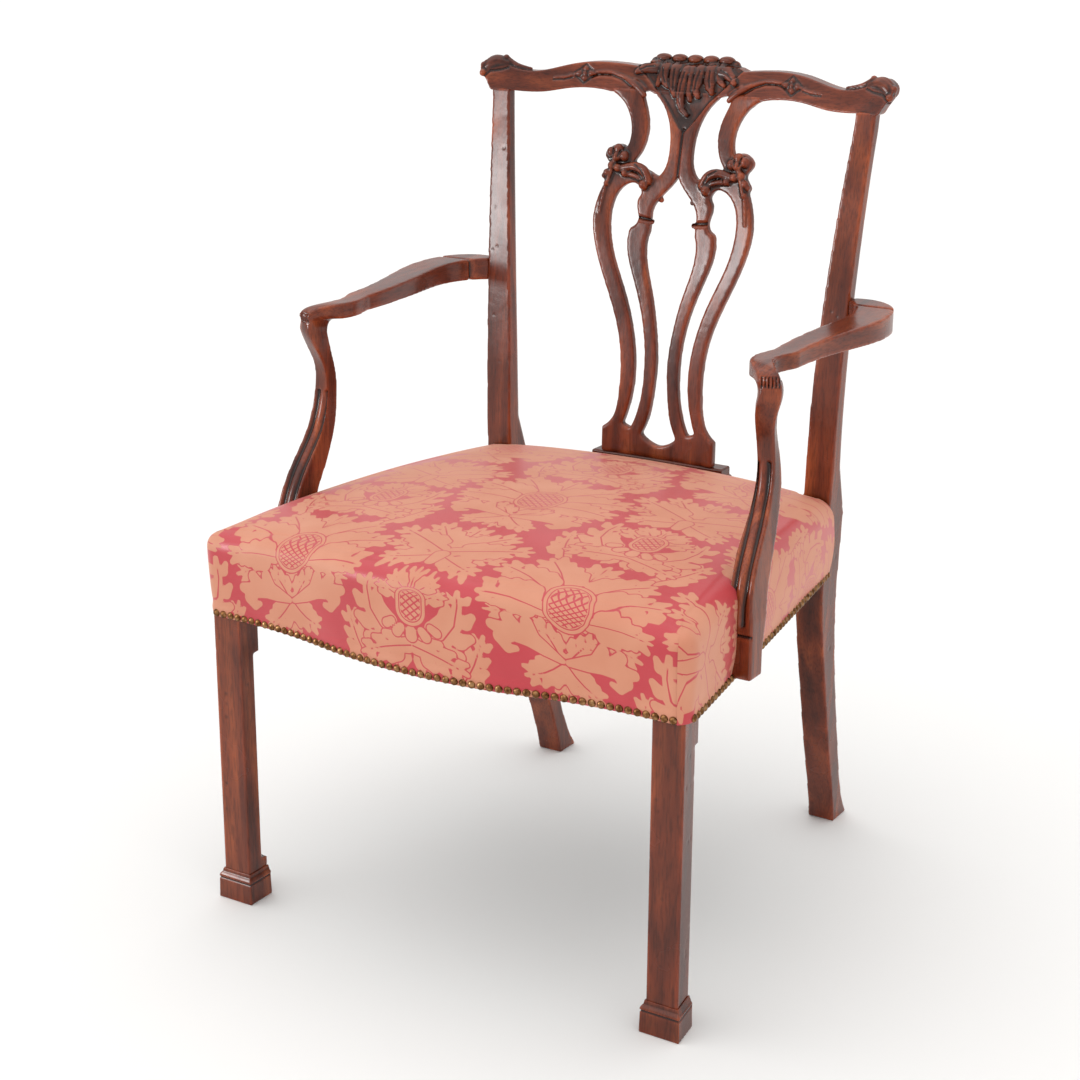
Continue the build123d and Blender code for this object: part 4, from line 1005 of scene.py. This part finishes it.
def silk_damask():
    """Silk damask: a matt salmon figure on a crimson satin ground, its leaves divided by fine lines of
    ground, with a diaper over the dome. The ribs of the weave are drawn at 2.4 mm, about three times
    too coarse, to show."""
    material, tree, shader, place = finish_of("silk_damask")
    lie = node(tree, "Attribute", {"attribute_name": "lie"}).outputs["Vector"]
    lattice = 0.0
    for slant in (50, -50):
        turned = node(tree, "Mapping", Vector=lie, Rotation=(0, 0, radians(slant)))
        pitch = pi / (10 * 6.5 * mm)
        wave = node(tree, "TexWave", {"bands_direction": "X"}, Vector=turned, Scale=pitch)
        line = node(tree, "MapRange", Value=wave.outputs["Fac"], From_Min=0.72, From_Max=0.9)
        lattice = node(tree, "Math", {"operation": "MAXIMUM"}, _0=lattice, _1=line)
    shown = 0.0
    for layer in (1, 2, 3, 4, 5):
        lobe = node(tree, "Attribute", {"attribute_name": f"lobe_{layer}"}).outputs["Fac"]
        fill = node(tree, "MapRange", Value=lobe, From_Min=0.4, From_Max=-0.4)
        if layer < 5:  # a leaf, with its midrib in the ground's colour
            midrib = node(tree, "Attribute", {"attribute_name": f"rib_{layer}"}).outputs["Fac"]
            beside = node(tree, "Math", {"operation": "ABSOLUTE"}, _0=midrib)
            off_rib = node(tree, "MapRange", Value=beside, From_Min=0.5, From_Max=1.2)
            at_edge = node(tree, "MapRange", Value=lobe, From_Min=-4.2, From_Max=-3.2)
            drawn = node(tree, "Math", {"operation": "MAXIMUM"}, _0=off_rib, _1=at_edge)
        else:  # the dome, with a ring round its diaper
            inward = node(tree, "Math", {"operation": "ADD"}, _0=lobe, _1=4.2)
            from_ring = node(tree, "Math", {"operation": "ABSOLUTE"}, _0=inward)
            off_ring = node(tree, "MapRange", Value=from_ring, From_Min=0.4, From_Max=0.9)
            within = node(tree, "MapRange", Value=lobe, From_Min=-5.4, From_Max=-6.2)
            diaper = node(tree, "Math", {"operation": "MULTIPLY"}, _0=lattice, _1=within)
            off_diaper = node(tree, "Math", {"operation": "SUBTRACT"}, _0=1.0, _1=diaper)
            drawn = node(tree, "Math", {"operation": "MULTIPLY"}, _0=off_ring, _1=off_diaper)
        fill = node(tree, "Math", {"operation": "MULTIPLY"}, _0=fill, _1=drawn)
        beyond = node(tree, "MapRange", Value=lobe, From_Min=1.0, From_Max=1.8)
        below = node(tree, "Math", {"operation": "MULTIPLY"}, _0=shown, _1=beyond)
        shown = node(tree, "Math", {"operation": "MAXIMUM"}, _0=below, _1=fill)
    fade = node(tree, "TexNoise", Vector=place, Scale=1 / (60 * mm), Detail=3.0)
    ground = node(tree, "ValToRGB", {"stops": [(0.3, "#BC303B"), (0.7, "#C53D46")]}, Fac=fade)
    figure = node(tree, "ValToRGB", {"stops": [(0.3, "#CE8466"), (0.7, "#D59072")]}, Fac=fade)
    colour = node(tree, "Mix", {"data_type": "RGBA"}, _0=shown, _6=ground, _7=figure).outputs[2]
    gloss = node(tree, "MapRange", Value=shown, To_Min=0.36, To_Max=0.6)
    pitch = pi / (10 * 2.4 * mm)
    ribs = node(tree, "TexWave", {"bands_direction": "Y"}, Vector=lie, Scale=pitch).outputs["Fac"]
    relief = node(tree, "Math", {"operation": "MULTIPLY_ADD"}, _0=ribs, _1=0.25, _2=shown)
    bump = node(tree, "Bump", Strength=0.3, Distance=0.3 * mm, Height=relief)
    wire(shader, Base_Color=colour, Roughness=gloss, Normal=bump)
    wire(shader, Sheen_Weight=0.5, Sheen_Roughness=0.4, Sheen_Tint=paint("#F6C9B8"))
    return material


dress(seat, silk_damask())
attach(seat, "root")
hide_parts("seat_cover", "stuffing")


# Nails: domed heads of antique brass, close set along the lower edge of the cover.
# Each is driven through the cloth, with its head's rim on the damask; one head is modelled and copied.
def antique_brass():
    """Cast brass toned brown by age, in small patches from dark brown to yellow."""
    material, tree, shader, place = finish_of("antique_brass")
    tarnish = node(tree, "TexNoise", Vector=place, Scale=1 / (5 * mm), Detail=4.0)
    stops = [(0.3, "#4A2E18"), (0.5, "#7A5433"), (0.7, "#A9825A")]
    colour = node(tree, "ValToRGB", {"stops": stops}, Fac=tarnish)
    gloss = node(tree, "MapRange", Value=tarnish, From_Min=0.3, From_Max=0.7, To_Min=0.5, To_Max=0.3)
    wire(shader, Base_Color=colour, Roughness=gloss, Metallic=1.0)
    return material


brass = antique_brass()
nail_head = (4.6 * mm, 3.4 * mm)  # radius and rise
nail_spacing = 10.4 * mm
bpy.ops.object.select_all(action="DESELECT")
bpy.ops.mesh.primitive_uv_sphere_add(segments=12, ring_count=8, radius=1)
dome = bpy.context.object
bpy.ops.object.mode_set(mode="EDIT")
bpy.ops.mesh.select_all(action="SELECT")
bpy.ops.mesh.bisect(plane_co=(0, 0, 0), plane_no=(0, 0, 1), clear_inner=True, use_fill=True)
bpy.ops.mesh.select_all(action="SELECT")
bpy.ops.transform.resize(value=(nail_head[0], nail_head[0], nail_head[1]), center_override=(0, 0, 0))
bpy.ops.object.mode_set(mode="OBJECT")
for name in ("nails_front", "nails_right", "nails_left"):
    islands = copy_of(name, f"{name}_domed")
    bpy.ops.object.mode_set(mode="EDIT")
    bpy.ops.mesh.select_all(action="SELECT")
    bpy.ops.mesh.separate(type="LOOSE")
    bpy.ops.object.mode_set(mode="OBJECT")
    driven = []
    for island in list(bpy.context.selected_objects):
        spots = np.array([point.co for point in island.data.vertices])
        middle = spots.mean(axis=0)
        outward = np.linalg.eigh(np.cov((spots - middle).T))[1][:, 0]
        outward *= np.sign(-outward[1] if name == "nails_front" else outward[0] * middle[0])
        driven.append([*(middle + outward * ((spots - middle) @ outward).min()), *outward])
        bpy.data.objects.remove(island)
    driven = np.array(sorted(driven, key=lambda nail: nail[0] if name == "nails_front" else nail[1]))
    run = np.linalg.norm(np.diff(driven[:, :3], axis=0), axis=1).sum()
    heads = []
    for nail in walk(driven, round(run / nail_spacing), 3):
        head = add("nail", dome.data.copy())
        out = Vector(nail[3:]).normalized()
        turn = out.to_track_quat("Z", "Y").to_matrix().to_4x4()
        head.data.transform(Matrix.Translation(Vector(nail[:3]) + out * 0.4 * mm) @ turn)
        heads.append(head)
    pick(*heads)
    bpy.ops.object.join()
    heads[0].name = f"{name}_domed"
    bpy.ops.object.shade_smooth_by_angle(angle=radians(60))
    dress(heads[0], brass)
    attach(heads[0], "root")
    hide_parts(name)
bpy.data.objects.remove(dome)


# Bottom cloth: black cotton tacked up under the rails to keep the dust in, with its edges turned under.
# It is cut to the frame, notched round the legs, and sags a little between the rails.
def black_cotton():
    """Plain-woven cotton, dyed black and dusty. Its threads are drawn at 2 mm to show, about five times
    too coarse."""
    material, tree, shader, place = finish_of("black_cotton")
    pitch = pi / (10 * 2 * mm)
    warp, weft = [
        node(tree, "TexWave", {"bands_direction": way}, Vector=place, Scale=pitch) for way in "XY"
    ]
    weave = node(tree, "Math", {"operation": "ADD"}, _0=warp.outputs["Fac"], _1=weft.outputs["Fac"])
    dust = node(tree, "TexNoise", Vector=place, Scale=1 / (45 * mm), Detail=4.0)
    stops = [(0.35, "#1B1A1A"), (0.7, "#34312E")]
    colour = node(tree, "ValToRGB", {"stops": stops}, Fac=dust)
    bump = node(tree, "Bump", Strength=0.4, Distance=0.3 * mm, Height=weave)
    wire(shader, Base_Color=colour, Normal=bump, Roughness=0.9)
    return material


dust_cloth = copy_of("bottom_cloth", "dust_cloth")
low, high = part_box("bottom_cloth")
bpy.ops.object.mode_set(mode="EDIT")
for axis, way in ((0, (1, 0, 0)), (1, (0, 1, 0))):
    for k in range(1, 24):
        cut = [0, 0, 0]
        cut[axis] = low[axis] + (high[axis] - low[axis]) * k / 24
        bpy.ops.mesh.select_all(action="SELECT")
        bpy.ops.mesh.bisect(plane_co=cut, plane_no=way)
bpy.ops.object.mode_set(mode="OBJECT")
sag_depth = 7 * mm
sag_half = (250 * mm, 235 * mm)  # across and fore and aft, from the middle to the rails
sag_middle = -50 * mm
places, _ = read(dust_cloth)
sag = np.cos(np.clip(places[:, 0] / sag_half[0], -1, 1) * pi / 2)
sag *= np.cos(np.clip((places[:, 1] - sag_middle) / sag_half[1], -1, 1) * pi / 2)
places[:, 2] -= sag_depth * sag
put(dust_cloth, places)
pick(dust_cloth)
bpy.ops.object.shade_smooth_by_angle(angle=radians(40))
dress(dust_cloth, black_cotton())
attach(dust_cloth, "root")
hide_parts("bottom_cloth")

# Camera, floor and light: the photographed view, on a plain pale floor.
# Soft light falls from above, and a small window to the left shines in the polish.
turn, tip, level = radians(31.8626), radians(17.8390), radians(0.2325)
away, aside, above = 2.951189, 0.266086, 0.291272  # from a point on the floor
floor_point = Vector((0, 0.43, 0))
film, focal, picture = 36, 2091.55, 1080  # film in mm, focal length and picture in pixels
back = Vector((sin(turn) * cos(tip), -cos(turn) * cos(tip), sin(tip)))
right = Vector((cos(turn), sin(turn), 0))
up = back.cross(right)
axes = Matrix((right * cos(level) + up * sin(level), up * cos(level) - right * sin(level), back))
view = axes.transposed().to_4x4()
view.translation = back * away - right * aside + up * above + floor_point
camera = add("camera", bpy.data.cameras.new("camera"))
camera.data.sensor_width = film
camera.data.lens = focal * film / picture
camera.matrix_world = view
bpy.context.scene.camera = camera

bpy.ops.mesh.primitive_plane_add(size=40, location=(0, 0, -0.0005))
floor = bpy.context.object
floor.name = "floor"
pale, _, shader, _ = finish_of("pale_floor")
wire(shader, Base_Color=paint("#F4F3F1"), Roughness=0.8)
dress(floor, pale)

sky = add("sky", bpy.data.lights.new("sky", "SUN"))
sky.data.energy = 1.28
sky.data.angle = radians(90)
sky.rotation_euler = (radians(12), radians(-14), 0)
window = add("window", bpy.data.lights.new("window", "AREA"))
window.data.energy = 15
window.data.shape = "RECTANGLE"
window.data.size, window.data.size_y = 0.45, 0.5
window.location = (-1.25, -1.5, 0.9)
window.rotation_euler = (Vector((-0.24, 0.23, 0.9)) - window.location).to_track_quat("-Z", "Y").to_euler()
window.visible_diffuse = False  # only its reflection in the polish of the left post and the crest is seen
world = bpy.data.worlds.new("studio")
bpy.context.scene.world = world
world.use_nodes = True
wire(world.node_tree.nodes["Background"], Color=(1, 1, 1, 1), Strength=0.82)
bpy.context.scene.view_settings.view_transform = "Standard"
